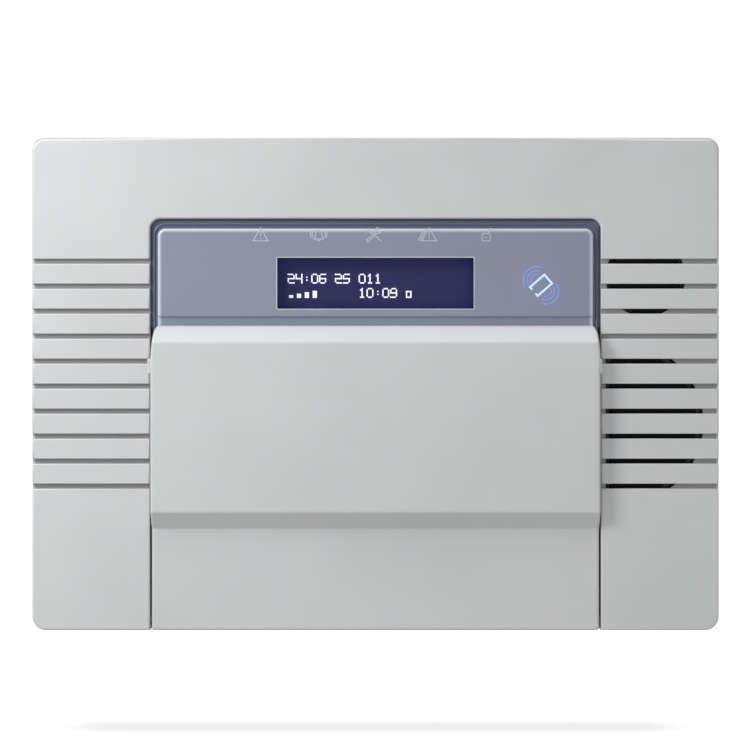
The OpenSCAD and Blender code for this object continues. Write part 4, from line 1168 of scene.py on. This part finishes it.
def boards():
    on_main = sum((footprints(n) for n in ("terminal_blocks", "microchips", "relays", "capacitors", "pin_headers",
                                           "board_screws")), [])
    (x0, x1), (_, face), (z0, z1) = span("main_board")
    small_parts("main_board_parts", "case", ((x0 + 3, x1 - 3), (z0 + 3, z1 - 18)), face, 1, on_main,
                count=150, seed=11)
    (x0, x1), (_, radio_face), (z0, z1) = span("radio_board")
    avoid = footprints("radio_shield", 1.5) + footprints("board_screws") + footprints("microchips", 1.5)
    small_parts("radio_board_parts", "case", ((x0 + 3, x1 - 3), (z0 + 3, z1 - 3)), radio_face, 1, avoid,
                count=26, seed=5)
    ink = print_ink("silkscreen", (226, 228, 220), 0.7)
    lines = [stroke("line", rounded_rect(*box, 0.3, 2), 0.2, face - 0.01, face + 0.015, ink, True) for box in on_main]
    place(join("board_silkscreen", lines), "case", "green_board")
    back = span("keypad_board")[1][0]
    plugs = (30, 60, 56, 66)             # where the ribbon reaches the board
    face = back + 5                      # the solder side, inside the node's box
    small_parts("keypad_board_parts", "lid", ((-92, 92), (-54, 67)), face, -1,
                [plugs] + footprints("self_tapping_screws", 1), count=90, seed=23)
    joints = []
    for name in KEY_ORDER:
        x, _, z = span(name)
        cx, _, cz = middle(x, z)
        dome = [(0.9, 5.02), (0.75, 4.8), (0.35, 4.55), (0, 4.5)]
        joints += [revolve("joint", (px, back, cz), dome, TIN, 12) for px in (cx - 4, cx + 4)]
    (left, _), _, (_, top) = span("lcd_frame")
    for px in (left + 8 + i * 2.54 for i in range(16)):
        joints.append(revolve("joint", (px, back, top + 1.5), [(0.8, 5.02), (0.6, 4.75), (0, 4.5)], TIN, 12))
    place(join("keypad_board_joints", joints), "lid", "green_board")


def relays():
    parts = []
    for (x0, x1), (d0, d1), (z0, z1) in islands("relays"):
        box = (x0, x1, z0, z1)
        window = rounded_rect(x0 + 2, x1 - 2, z0 + 2, z1 - 4.5, 0.8, 3)
        parts += [rounded_plate("base", box, d0, d0 + 2, 0.5, 0.1, 0.1, BLACK, 3, 2),
                  rounded_plate("case", inset(box, 0.25), d0 + 1.5, d1, 0.9, 0.7, 0, RELAY, 4, 4),
                  stroke("vent", arc(x0 + 2.2, z1 - 2.2, 0.55, 0, 360, 16), 0.3, d1 - 0.05, d1 + 0.03, BLACK, True),
                  stroke("line", window, 0.22, d1 - 0.05, d1 + 0.015, INK_WHITE, True)]
    fit("relay_pair", parts, "case", "relay_plastic", "relays")


def capacitors():
    parts = []
    for c, r, d0, d1 in round_solids("capacitors"):
        h = d1 - d0
        sleeve = [(0.7, d0), (0.93, d0 + 0.2), (1, d0 + 0.9), (1, d0 + h * 0.14), (0.93, d0 + h * 0.17),
                  (0.93, d0 + h * 0.2), (1, d0 + h * 0.24), (1, d1 - 0.9), (0.95, d1 - 0.25), (0.8, d1 - 0.02),
                  (0.78, d1 - 0.02), (0, d1 - 0.2)]
        can = [(0.79, d1 - 0.4), (0.77, d1 - 0.06), (0.7, d1 - 0.02), (0, d1 - 0.02)]
        parts += [revolve(name, c, [(r * k, d) for k, d in profile], material, 36)
                  for name, profile, material in (("sleeve", sleeve, SLEEVE), ("can", can, TIN))]
        parts += [stroke("vent", placed([(0, 0), (r * 0.6, 0)], (c[0], c[2]), 1, turn), 0.25, d1 - 0.06, d1, BLACK)
                  for turn in (20, 140, 260)]
        stripe = arc(c[0], c[2], r + 0.015, 200, 245, 9) + arc(c[0], c[2], r - 0.1, 245, 200, 9)
        parts.append(prism("stripe", stripe, d0 + h * 0.26, d1 - 1.1, INK_WHITE))
    fit("capacitor_set", parts, "case", "capacitor_sleeve", "capacitors")


def header_pins():
    """Square gilded pins: one row in the wide header, whose other row lies under the ribbon, and the sockets'."""
    parts = []
    for (x0, x1), (d0, d1), (z0, z1) in islands("pin_headers"):
        wide, upright = x1 - x0 > 15, z1 - z0 > x1 - x0
        count = 8 if wide else int((max(x1 - x0, z1 - z0) - 2) / 2.54)
        top = d1 + 2.6 if upright else d1 - 2.2
        row = -1.27 if wide else 0
        for t in ((i - (count - 1) / 2) * (2 if wide else 2.54) for i in range(count)):
            x, z = (x0 + x1) / 2 + (0 if upright else t), (z0 + z1) / 2 + (t if upright else row)
            parts.append(rounded_plate("pin", (x - 0.3, x + 0.3, z - 0.3, z + 0.3), d0 + 0.4, top, 0.08, 0.22, 0,
                                       GILT, 1, 1))
    place(join("header_pins", parts), "case", "brass")


def terminals():
    """Ribs between the ways and clamp screws with slots, over the CAD's bored blocks."""
    parts, ways, half = [], 8, 0.35      # half a rib's width
    for (x0, x1), (d0, d1), (z0, z1) in islands("terminal_blocks"):
        for i in range(ways + 1):
            x = min(max(x0 + i * ((x1 - x0) / ways), x0 + half), x1 - half)
            parts.append(rounded_plate("rib", (x - half, x + half, z0 + 0.4, z1 - 0.6), d1 - 1, d1 + 0.55, 0.15, 0.3,
                                       0, TERMINAL, 2, 2))
        parts.append(rounded_plate("step", (x0, x1, z0 - 1.1, z0 + 0.3), d0, d0 + 6.5, 0.3, 0.5, 0, TERMINAL, 2, 3))
    fit("terminal_block_ribs", parts, "case", "terminal_plastic")
    clamp = []
    for c, r, d0, d1 in round_solids("terminal_screws"):
        profile = [(r * 0.9, d0), (r, d0 + 0.2), (r, d1 - 0.35), (r * 0.85, d1 - 0.08), (0, d1)]
        head = revolve("head", c, profile, n=24)
        long, turn = r + 0.1, 11 + 37 * c[0] % 160      # each slot stands at its own angle
        slot = placed([(-long, -0.25), (long, -0.25), (long, 0.25), (-long, 0.25)], (c[0], c[2]), 1, turn)
        boolean(head, prism("tool", slot, d1 - 0.8, d1 + 1))
        clamp.append(paint(head, STEEL))
    fit("terminal_screw_heads", clamp, "case", "zinc_steel", "terminal_screws")


def transformer():
    (x0, x1), (d0, d1), (z0, z1) = span("transformer_winding")
    (left, right), (_, face), (low, high) = span("transformer_core")
    parts = []
    for core, far, s in ((high, z1, 1), (low, z0, -1)):
        half = (core + far) / 2
        bulge = [[(x, d, z) for x, d in rounded_rect(x0 + 0.3 + e, x1 - 0.3 - e, d0 + 0.3 + e, d1 - 0.3 - e, 3.2 - e)]
                 for z, e in ((core + s * 1.0, 0.9), (half - s * 1.4, 0.15), (half, 0), (half + s * 1.4, 0.15),
                              (far - s * 0.9, 0.9))]
        flange = [[(x, d, z) for x, d in rounded_rect(x0 - 0.5, x1 + 0.5, d0 - 0.4, d1 + 0.4, 1.2)]
                  for z in (far, far - s * 1.0)]
        parts += [loft("bulge", bulge, TAPE), loft("flange", flange, BLACK)]
        for x in (x0 + 4 + i * 5.2 for i in range(4)):
            tag = (x - 0.6, x + 0.6, *sorted((far - s * 0.6, far - s * 0.6 + s * 2.4)))
            parts.append(rounded_plate("tag", tag, d1 + 0.2, d1 + 0.9, 0.3, 0.2, 0.2, TIN, 2, 2))
    fit("transformer_bobbin", parts, "case", "winding_tape")
    rivet = [(1.9, face - 0.3), (1.9, face + 0.15), (1.3, face + 0.7), (0, face + 0.85)]
    rivets = [revolve("rivet", (x, 0, z), rivet, STEEL, 20) for x in (left + 2.8, right - 2.8)
              for z in (low + 3, high - 3)]
    fit("transformer_rivets", rivets, "case", "zinc_steel")


def fuse():
    """A glass tube with a wire in it and two metal caps, each held in a spring clip that opens to the front."""
    (x0, x1), (low, _), (z0, z1) = span("mains_fuse")
    d, z, length, r = low + 4, (z0 + z1) / 2, x1 - x0, 2.58
    glass = [(2.2, 4), (2.3, 4.4), (2.3, length - 4.4), (2.2, length - 4)]
    wire = [(x0 + 3, d - 0.2, z - 0.3), (x0 + length / 2, d, z), (x1 - 3, d + 0.2, z + 0.3)]
    parts = [revolve("tube", (x0, d, z), glass, GLASS, 32, "x"), tube("wire", wire, 0.12, TIN, 6)]
    grip = arc(d, z, 3.25, 52, 308, 16) + arc(d, z, 2.62, 308, 52, 16)
    foot = [(low, z - 2.2), (low, z + 2.2), (low + 1.1, z + 1.3), (low + 1.1, z - 1.3)]
    for start, s in ((x0, 1), (x1, -1)):
        cap = [(r * 0.8, 0), (r * 0.97, s * 0.15), (r, s * 0.5), (r, s * 4.6), (r * 0.93, s * 5)]
        left = min(start + s * 1.3, start + s * 4.1)
        parts += [revolve("cap", (start, d, z), cap, FUSE_METAL, 32, "x"),
                  bar("clip", grip, left, left + 2.8, GILT), bar("foot", foot, left, left + 2.8, GILT)]
    fit("mains_fuse_tube", parts, "case", "fuse_metal", "mains_fuse")


def battery():
    parts = []
    for (x0, x1), (d0, d1), (z0, z1) in islands("battery_cells"):
        r, length = (z1 - z0) / 2, x1 - x0
        c = (x0, (d0 + d1) / 2, (z0 + z1) / 2)
        body = length - 1.2
        wrap = [(r * 0.86, 0), (r * 0.97, 0.2), (r, 0.8), (r, body - 2.6), (r * 0.955, body - 2.1),
                (r * 0.955, body - 1.7), (r, body - 1.2), (r * 0.97, body - 0.3), (r * 0.8, body - 0.02),
                (r * 0.78, body - 0.02)]
        nub = [(r * 0.78, body - 0.06), (r * 0.5, body + 0.1), (r * 0.4, body + 0.2), (2.75, body + 0.3),
               (2.75, length - 0.3), (2.4, length), (0, length)]
        parts += [revolve("cell", c, wrap, WRAP, 40, "x"),
                  revolve("end", c, [(r * 0.79, 0.02), (r * 0.77, 0), (0, 0)], TIN, 32, "x"),
                  revolve("nub", c, nub, TIN, 32, "x")]
    fit("battery_cell_set", parts, "case", "battery_wrap", "battery_cells")


# The leads follow the routes of their CAD solids, as (x, depth, z) points.
BATTERY_ROUTE = [(77, 14.6, -79), (78, 15.4, -76), (76, 15.5, -69), (66, 15, -65), (58, 16.5, -62), (53, 19, -58),
                 (51, 19, -55), (51, 15.5, -53.5), (51, 12.4, -53.5)]
ANTENNA_ROUTE = [(-116, 9.8, 74), (-116, 12.4, 74.4), (-115, 14, 80), (-110, 14, 88), (-102, 14, 92), (-90, 14, 93),
                 (-70, 14, 93), (-36, 14, 93)]
SIREN_ROUTE = [(96, 17.6, -12), (96, 14.8, -10), (92, 13.6, 0), (84, 15, 14), (76, 19, 24), (70, 25, 28),
               (70, 29.6, 28)]
SPEAKER_ROUTE = [(113, 29.3, 44), (110, 27, 43), (100, 25, 41), (89, 25, 38), (82, 26, 36), (81, 29.6, 36)]
# The ribbon's, as (depth, z) points.
RIBBON_PATH = [(12.1, 55), (16, 55), (18.6, 55.6), (20.4, 58.6), (21.6, 65), (22.4, 74), (23, 82), (23.7, 87),
               (24.7, 88.9), (25.4, 87), (25.8, 82), (26.1, 74), (26.4, 66), (26.5, 61.2)]


def twisted(route, radius, turns):
    """A red and a black lead twisted about a route, inside the radius given."""
    line = [Vector(p) for p in curve(route, 14)]
    parts = []
    for start, material in ((0, RED_WIRE), (math.pi, BLACK_WIRE)):
        path = []
        for i, q in enumerate(line):
            t = tangent(line, i)
            side = t.orthogonal().normalized() if i == 0 else (side - t * side.dot(t)).normalized()
            a = 2 * math.pi * turns * i / len(line) + start
            path.append(tuple(q + (math.cos(a) * side + math.sin(a) * t.cross(side)) * radius * 0.5))
        parts.append(tube("wire", path, radius * 0.49, material, 10))
    return parts


def wiring():
    plug = rounded_plate("plug", (47.4, 54.6, -55.6, -51.4), 11.2, 17.8, 0.4, 0.5, 0.2, NYLON, 3, 3)
    fit("battery_lead_pair", twisted(BATTERY_ROUTE, 1.5, 6) + [plug], "case", "red_lead", "battery_lead")
    solder = revolve("solder", (-116, 0, 74), [(1.6, 9.6), (1.2, 10.1), (0.7, 10.9), (0.5, 11.2)], TIN, 20)
    fit("antenna_wire_run", [tube("wire", curve(ANTENNA_ROUTE, 10), 0.8, ANTENNA, 14), solder], "case",
        "antenna_wire", "antenna", 50)
    fit("sounder_lead_pairs", twisted(SIREN_ROUTE, 1.1, 5) + twisted(SPEAKER_ROUTE, 1.1, 4), "lid", "red_lead",
        "sounder_leads", 50)


def radio():
    (x0, x1), (d0, d1), (z0, z1) = span("radio_shield")
    box = (x0, x1, z0, z1)
    can = rounded_plate("radio_shield_can", box, d0, d1, 0.6, 0.4, 0, n=4, steps=3)
    boolean(can, rounded_plate("tool", inset(box, 0.4), d0 - 1, d1 - 0.4, 0.4))
    boolean(can, join("tool", [revolve("hole", (x0 + 5 + i * 4, 0, z0 + 5 + j * 4), [(0.75, d1 - 2), (0.75, d1 + 1)],
                                       n=14) for i in range(5) for j in range(5)]))
    place(smooth(paint(can, TIN), 40), "case", "zinc_steel", "radio_shield")


def tamper():
    x, (d0, d1), z = span("tamper_plunger")
    c = middle(x, z)
    stem = [(1.7, d0), (2, d0 + 0.4), (2, d1 - 2.4), (2.6, d1 - 1.6), (4.2, d1 - 1.45), (4.4, d1 - 1.2),
            (4.4, d1 - 0.5), (4.1, d1 - 0.1), (3.4, d1), (0, d1)]
    cap = revolve("tamper_plunger_stem", c, stem, RED, 40)
    place(smooth(cap, 40), "tamper_plunger", "red_plastic", "tamper_plunger")
    wire, coil_r, turns, n = 0.31, 3.2, 4, 18
    s0, s1 = span("tamper_spring")[1]
    s0, s1 = s0 + 0.32, s1 - 0.32
    coil = [(c[0] + coil_r * math.cos(2 * math.pi * i / n), s0 + (s1 - s0) * i / (turns * n),
             c[2] + coil_r * math.sin(2 * math.pi * i / n)) for i in range(turns * n + 1)]
    spring = smooth(tube("tamper_spring_coil", coil, wire, SPRING, 8), 60)
    bake_modifiers(spring)
    place(spring, "tamper_plunger", "zinc_steel", "tamper_spring")
    spring.parent = None
    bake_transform(spring)


def ribbon():
    """A flat cable of round cores side by side, from the case's header over to the keypad board. Its depth grows
    all the way along."""
    x0, x1 = span("ribbon_cable")[0]
    cores = 16
    pitch = (x1 - x0) / cores
    path = [Vector(p) for p in curve(RIBBON_PATH, 8)]
    rings = []
    core = (0.02, 0.25, 0.5, 0.75)       # places across one core
    for i, q in enumerate(path):
        t = tangent(path, i)
        ring = []
        for s in (1, -1):
            for k, u in ((k, u if s > 0 else 1 - u) for k in range(cores)[::s] for u in core):
                p = q + Vector((-t.y, t.x)) * s * (0.2 + 0.24 * math.sqrt(max(0, 1 - (2 * u - 1) ** 2)))
                ring.append((x0 + (k + u) * pitch, p.x, p.y))
        rings.append(ring)
    cable = smooth(loft("ribbon_cable_strip", rings, RIBBON), 50)
    bake_modifiers(cable)
    stripe = len(cable.data.materials)
    cable.data.materials.append(STRIPE)
    for p in cable.data.polygons:
        if p.center.x < (x0 + pitch) * MM:
            p.material_index = stripe
    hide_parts("ribbon_cable")
    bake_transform(cable)


# ---- Sounders, tag reader and lights ----

SIREN_AT = (107.3, 0, -16.9)
SPEAKER_AT = (116.9, 0, 46.4)


def siren_disc():
    """The piezo disc behind the right slots, and the dust gauze between them, whose near-black colour
    also stands in for the shade behind the slots.
    """
    x, (d0, d1), z = span("siren_disc")
    cx, _, cz = c = middle(x, z)
    parts = [revolve("brass", c, [(31.5, d0), (31.8, d0 + 0.1), (31.8, d0 + 0.5), (0, d0 + 0.5)], BRASS, 64),
             revolve("ceramic", c, [(20, d0 + 0.4), (20, d0 + 0.72), (19.8, d1), (0, d1)], CERAMIC, 64)]
    parts += [revolve("joint", (cx + dx, 0, cz + dz), [(1.3, d), (0.9, d + 0.4), (0, d + 0.6)], TIN, 16)
              for dx, dz, d in ((5, 3, d1), (23, -4, d0 + 0.5))]
    fit("siren_piezo", parts, "lid", "brass", "siren_disc", 32)
    left = cx - 4.9
    mouth = [(max(x, left), z) for x, z in arc(cx, cz, 32.1, -90, 270, 72)[:-1] if x > left - 1.2]
    # the gauze's near-black colour also stands in for the shade behind the slots
    place(prism("siren_gauze_and_shade", mouth, FRONT - 5.1, FRONT - 4.9, GAUZE_AND_SHADE), "lid", "black_plastic")


def speaker_cone():
    x, (d0, d1), z = span("speaker_cone")
    profile = [(15.4, d1 - 0.6), (15.4, d1 - 0.1)]
    profile += [(14.3 + 0.9 * math.cos(a), d1 - 0.2 + 0.75 * math.sin(a)) for a in circle(16)[:9]]
    profile += [(13, d1 - 0.7), (10, d1 - 2.3), (7, d1 - 3.6), (4.9, d1 - 4.3)]
    profile += [(4.9 * math.cos(a), d1 - 4.3 + 1.9 * math.sin(a)) for a in quarter(6)[1:]]
    profile += [(0, d0 + 0.3), (5, d0 + 0.3), (13.2, d1 - 1.4)]
    place(smooth(revolve("speaker_cone_paper", middle(x, z), profile, PAPER, 64), 50), "lid", "cone_paper",
          "speaker_cone")


def siren_ribs():
    """Spokes, rings and a hub on the back of the siren's housing."""
    back = span("siren_housing")[1][0]
    at = (SIREN_AT[0], SIREN_AT[2])
    parts = [stroke("rib", placed([(8, 0), (31, 0)], at, 1, a), 1.4, back + 0.01, back + 0.9, BLACK)
             for a in range(15, 375, 30)]
    parts += [stroke("ring", arc(*at, r, 0, 360, 48), 1.2, back + 0.01, back + 0.9, BLACK, True) for r in (8, 31.4)]
    parts.append(revolve("hub", SIREN_AT, [(5, back + 0.6), (5, back + 0.2), (4.2, back + 0.02), (0, back + 0.02)],
                         BLACK, 32))
    place(join("siren_housing_ribs", parts), "lid", "black_plastic")


def speaker_magnet():
    d = span("speaker_basket")[1][0]
    magnet = [(8.6, d), (9.25, d + 0.5), (9.25, d + 4.6), (8.9, d + 5)]
    cup = [(6.6, d + 0.4), (6.6, d - 0.25), (6.2, d - 0.45), (1.6, d - 0.45), (1.4, d - 0.2), (0, d - 0.2)]
    fit("speaker_magnet_ring", [revolve("speaker_magnet", SPEAKER_AT, magnet, FERRITE, 48),
                                revolve("cup", SPEAKER_AT, cup, STEEL, 40)], "lid", "black_plastic")


def tag_coil():
    (x0, x1), (d0, d1), (z0, z1) = span("tag_coil")
    wire, layers, rows = 0.34, 8, 7
    parts = []
    for layer in range(layers):
        e = wire * (layer + 0.5) + 0.12
        outline = rounded_rect(*inset((x0, x1, z0, z1), e), max(5 - e, 2.2), 6)
        for row in range(rows):
            if layer in (0, layers - 1) or row in (0, rows - 1):
                parts.append(ring_tube("turn", outline, d0 + wire * (row + 0.5), wire / 2, COPPER, 6))
    for x, z, hw, hh in ((x0 + 1.5, TAG[1], 1.75, 2.2), (x1 - 1.5, TAG[1], 1.75, 2.2), (TAG[0], z0 + 1.5, 2.2, 1.75),
                         (TAG[0], z1 - 1.5, 2.2, 1.75)):
        parts.append(rounded_plate("tie", (x - hw, x + hw, z - hh, z + hh), d0, d1 + 0.12, 0.4, 0.3, 0, TAPE, 3, 2))
    fit("tag_coil_turns", parts, "lid", "coil_copper", "tag_coil", 50)


def light_pipes():
    parts = []
    for c, r, d0, d1 in round_solids("status_leds"):
        pipe = [(r * 0.75, d0 + 1.2), (r * 0.85, d0 + 3), (r, d1 - 1), (r * 0.85, d1 - 0.2), (0, d1)]
        parts += [revolve("chip", c, [(r, d0), (r, d0 + 1.2), (r * 0.8, d0 + 1.3)], CERAMIC, 20),
                  revolve("pipe", c, pipe, RESIN, 24)]
    fit("status_light_pipes", parts, "lid", "led_resin", "status_leds")


def backlight():
    (x0, x1), (d0, d1), (z0, z1) = span("lcd_backlight")
    parts = [rounded_plate("lcd_backlight_block", (x0, x1, z0, z1), d0, d1, 0.8, 0.3, 0.5, BACKLIGHT, 3, 3)]
    parts += [rounded_plate("rib", (x0 + 4 + i * 9, x0 + 5 + i * 9, z0, z0 + 0.6), d0 + 1, d1 - 1, 0.2, 0.1, 0.1,
                            BACKLIGHT, 2, 2) for i in range(10)]
    fit("lcd_backlight_block", parts, "lid", "backlight_plastic", "lcd_backlight")


# ---- Case furniture ----

def grommets():
    """Rubber sleeves with a stepped lip and a ribbed inside, each in its hole in the back wall."""
    parts = []
    for c, rim, d0, d1 in round_solids("cable_grommets"):
        neck, bore = rim - 2, rim - 5
        profile = [(bore, d0 + 0.6), (bore + 0.5, d0 + 0.1), (neck - 0.5, d0 + 0.05), (neck, d0 + 0.4),
                   (neck, d0 + 2.5), (rim - 0.3, d0 + 2.52), (rim, d0 + 2.9), (rim, d1 - 0.7), (rim - 0.6, d1 - 0.1),
                   (rim - 1.6, d1),
                   (rim - 2.2, d1 - 0.35), (bore + 1.2, d1 - 0.35), (bore + 0.7, d1), (bore + 0.2, d1 - 0.2),
                   (bore, d1 - 0.7), (bore, d0 + 3.6), (bore + 0.25, d0 + 3.2), (bore, d0 + 2.8), (bore, d0 + 2.1),
                   (bore + 0.25, d0 + 1.7), (bore, d0 + 1.3)]
        parts.append(revolve("sleeve", c, profile, RUBBER, 48, closed=True))
    fit("cable_grommet_set", parts, "case", "black_rubber", "cable_grommets", 30)


def inserts():
    """Brass inserts with two knurled bands and a plain bore."""
    parts = []
    bore = 2.2
    for (cx, _, cz), r, d0, d1 in round_solids("threaded_inserts"):
        plain, knurled = (r - 0.12,) * 3, (r, r - 0.14, r - 0.14)
        rings = [[(cx + radii[k % 3] * math.cos(a), d, cz + radii[k % 3] * math.sin(a))
                  for k, a in enumerate(circle(72))]
                 for d, radii in ((d0, plain), (d0 + 0.6, plain), (d0 + 0.8, knurled), (d0 + 3.6, knurled),
                                  (d0 + 3.8, plain), (d1 - 3.4, plain), (d1 - 3.2, knurled), (d1 - 1, knurled),
                                  (d1 - 0.8, plain), (d1, plain), (d1 - 0.05, (bore,) * 3), (d0 + 0.05, (bore,) * 3))]
        parts.append(loft("insert", rings, BRASS, True))
    fit("threaded_insert_pair", parts, "case", "brass", "threaded_inserts")


def pins():
    parts = []
    for (x0, x1), (d0, d1), (z0, z1) in islands("hinge_pins"):
        r, length = (z1 - z0) / 2, x1 - x0
        parts.append(revolve("pin", (x0, (d0 + d1) / 2, (z0 + z1) / 2),
                             [(r * 0.7, 0), (r, 0.3), (r, length - 0.3), (r * 0.7, length)], STEEL, 32, "x"))
    fit("hinge_pin_pair", parts, "case", "zinc_steel", "hinge_pins")


def shade_smooth():
    """A modifier's node group that shades every face smooth."""
    group = bpy.data.node_groups.new("shade_smooth", "GeometryNodeTree")
    for way in ("INPUT", "OUTPUT"):
        group.interface.new_socket("Geometry", in_out=way, socket_type="NodeSocketGeometry")
    start, shade, end = (group.nodes.new(kind) for kind in ("NodeGroupInput", "GeometryNodeSetShadeSmooth",
                                                            "NodeGroupOutput"))
    group.links.new(start.outputs[0], shade.inputs[0])
    group.links.new(shade.outputs[0], end.inputs[0])
    return group


def soften(node, width, material, shading):
    """Rounds a CAD node's edges with modifiers, so that its own mesh stays as it is, and gives it a material."""
    obj = nodes[node]
    for slot in obj.material_slots:
        slot.material = material
    modify(obj, "weld", "WELD", merge_threshold=2e-6)
    modify(obj, "planar", "DECIMATE", decimate_type="DISSOLVE", angle_limit=math.radians(1))
    modify(obj, "edges", "BEVEL", width=width * MM, segments=2, limit_method="ANGLE", angle_limit=math.radians(30),
           use_clamp_overlap=True)
    modify(obj, "shade", "NODES", node_group=shading)
    modify(obj, "normals", "WEIGHTED_NORMAL", keep_sharp=True)
    modify(obj, "sharp", "EDGE_SPLIT", split_angle=math.radians(40), use_edge_angle=True)


def carried_over():
    """The CAD nodes that keep their own mesh."""
    shading = shade_smooth()
    for node, width, material in (
            ("rear_case", 0.35, CASE), ("main_board", 0.12, BOARD), ("radio_board", 0.12, BOARD),
            ("keypad_board", 0.12, BOARD), ("terminal_blocks", 0.25, TERMINAL), ("pin_headers", 0.2, BLACK),
            ("transformer_core", 0.3, LAMINATED), ("transformer_winding", 0.4, TAPE),
            ("mains_terminal", 0.3, NYLON), ("battery_strap", 0.4, STRAP), ("tamper_switch", 0.3, BLACK),
            ("lcd_frame", 0.2, LCD_METAL), ("speaker_basket", 0.2, BLACK_METAL), ("siren_housing", 0.35, BLACK)):
        soften(node, width, material, shading)


# ---- Floor, light, camera ----

def floor():
    """Pale paper. The panel hangs on a wall, and its open flap reaches below it, so the floor lies lower than the
    flap can go. It is see-through from underneath."""
    m = Nodes("floor_paper")
    m.colour(m.ramp(m.noise(3, 3), [(0.3, 0.93), (0.7, 0.95)]))
    m.set(Roughness=0.9, Emission_Color=(1, 1, 1, 1), Emission_Strength=0.5)
    below = m.add("ShaderNodeNewGeometry").outputs["Backfacing"]
    m.link(m.math("SUBTRACT", 1.0, below), m.shader.inputs["Alpha"])
    size, level = 6000, BOTTOM - 45
    obj = mesh("floor", [(-size, size, level), (size, size, level), (size, -size, level), (-size, -size, level)],
               [(0, 1, 2, 3)], m.material)
    obj.visible_diffuse = False
    return obj


def room():
    """A world that is white to the camera; everything else sees a dimmer room with a pale lower half."""
    world = bpy.data.worlds.new("studio")
    bpy.context.scene.world = world
    world.use_nodes = True
    tree = world.node_tree
    background = tree.nodes["Background"]
    background.inputs["Color"].default_value = (1, 1, 1, 1)
    path, direction, split, height, strength = (
        tree.nodes.new("ShaderNode" + kind) for kind in ("LightPath", "TexCoord", "SeparateXYZ", "MapRange", "Mix"))
    for socket, value in zip(height.inputs[1:5], (-0.2, 0.2, 0.578, 0.25)):
        socket.default_value = value
    strength.inputs[3].default_value = 1.02
    for a, b in ((direction.outputs["Generated"], split.inputs[0]), (split.outputs["Z"], height.inputs[0]),
                 (height.outputs[0], strength.inputs[2]), (path.outputs["Is Camera Ray"], strength.inputs[0]),
                 (strength.outputs[0], background.inputs["Strength"])):
        tree.links.new(a, b)


def lamp(name, kind, power, **values):
    light = bpy.data.lights.new(name, kind)
    light.energy = power
    return in_scene(name, assign(light, values))


def stage():
    unlit = bpy.data.collections.new("not_lit_by_key")
    unlit.objects.link(floor())
    room()
    key = lamp("key", "AREA", 2.4, size=0.25)
    key.location = (-0.42, -0.42, 0.3)
    target = Vector((-0.02, -0.05, 0.0))
    key.rotation_euler = (target - key.location).to_track_quat("-Z", "Y").to_euler()
    key.light_linking.receiver_collection = unlit
    unlit.collection_objects[0].light_linking.link_state = "EXCLUDE"
    for name, power, tilt, spread in (("overhead", 1.95, 0, 70), ("front", 0.2, 56, 35)):
        lamp(name, "SUN", power, angle=math.radians(spread)).rotation_euler = (math.radians(tilt), 0, 0)

    camera = in_scene("camera", bpy.data.cameras.new("camera"))
    distance, seen, sensor = 1.05, 0.3240, 36        # seen is the picture's width at the front face
    aim_x, aim_z = -0.0002, 0.0039       # where the middle of the picture lies
    camera.location = (aim_x, -FRONT * MM - distance, aim_z)
    camera.rotation_euler = (math.pi / 2, 0, 0)
    camera.data.sensor_width = sensor
    camera.data.lens = sensor * distance / seen
    camera.data.clip_end = 30
    bpy.context.scene.camera = camera
    bpy.context.scene.view_settings.view_transform = "Standard"


stage()
front_cover()
flap()
lens()
lcd()
icons()
keys()
fascia()
key_mat()
screws("board_screw_set", "board_screws", "case", shank_r=1.25, head_r=2.8, head_h=1.8)
screws("self_tapping_screw_set", "self_tapping_screws", "lid", shank_r=1.15, head_r=2.7, head_h=1.8, from_back=True)
screws("lid_screw_pair", "lid_screws", "lid", shank_r=1.95, head_r=3.6, head_h=2.6)
for build in (microchips, boards, relays, capacitors, header_pins, terminals, transformer, fuse, battery, wiring,
              radio, tamper, ribbon, siren_disc, speaker_cone, siren_ribs, speaker_magnet, tag_coil, light_pipes,
              backlight, grommets, inserts, pins, carried_over):
    build()
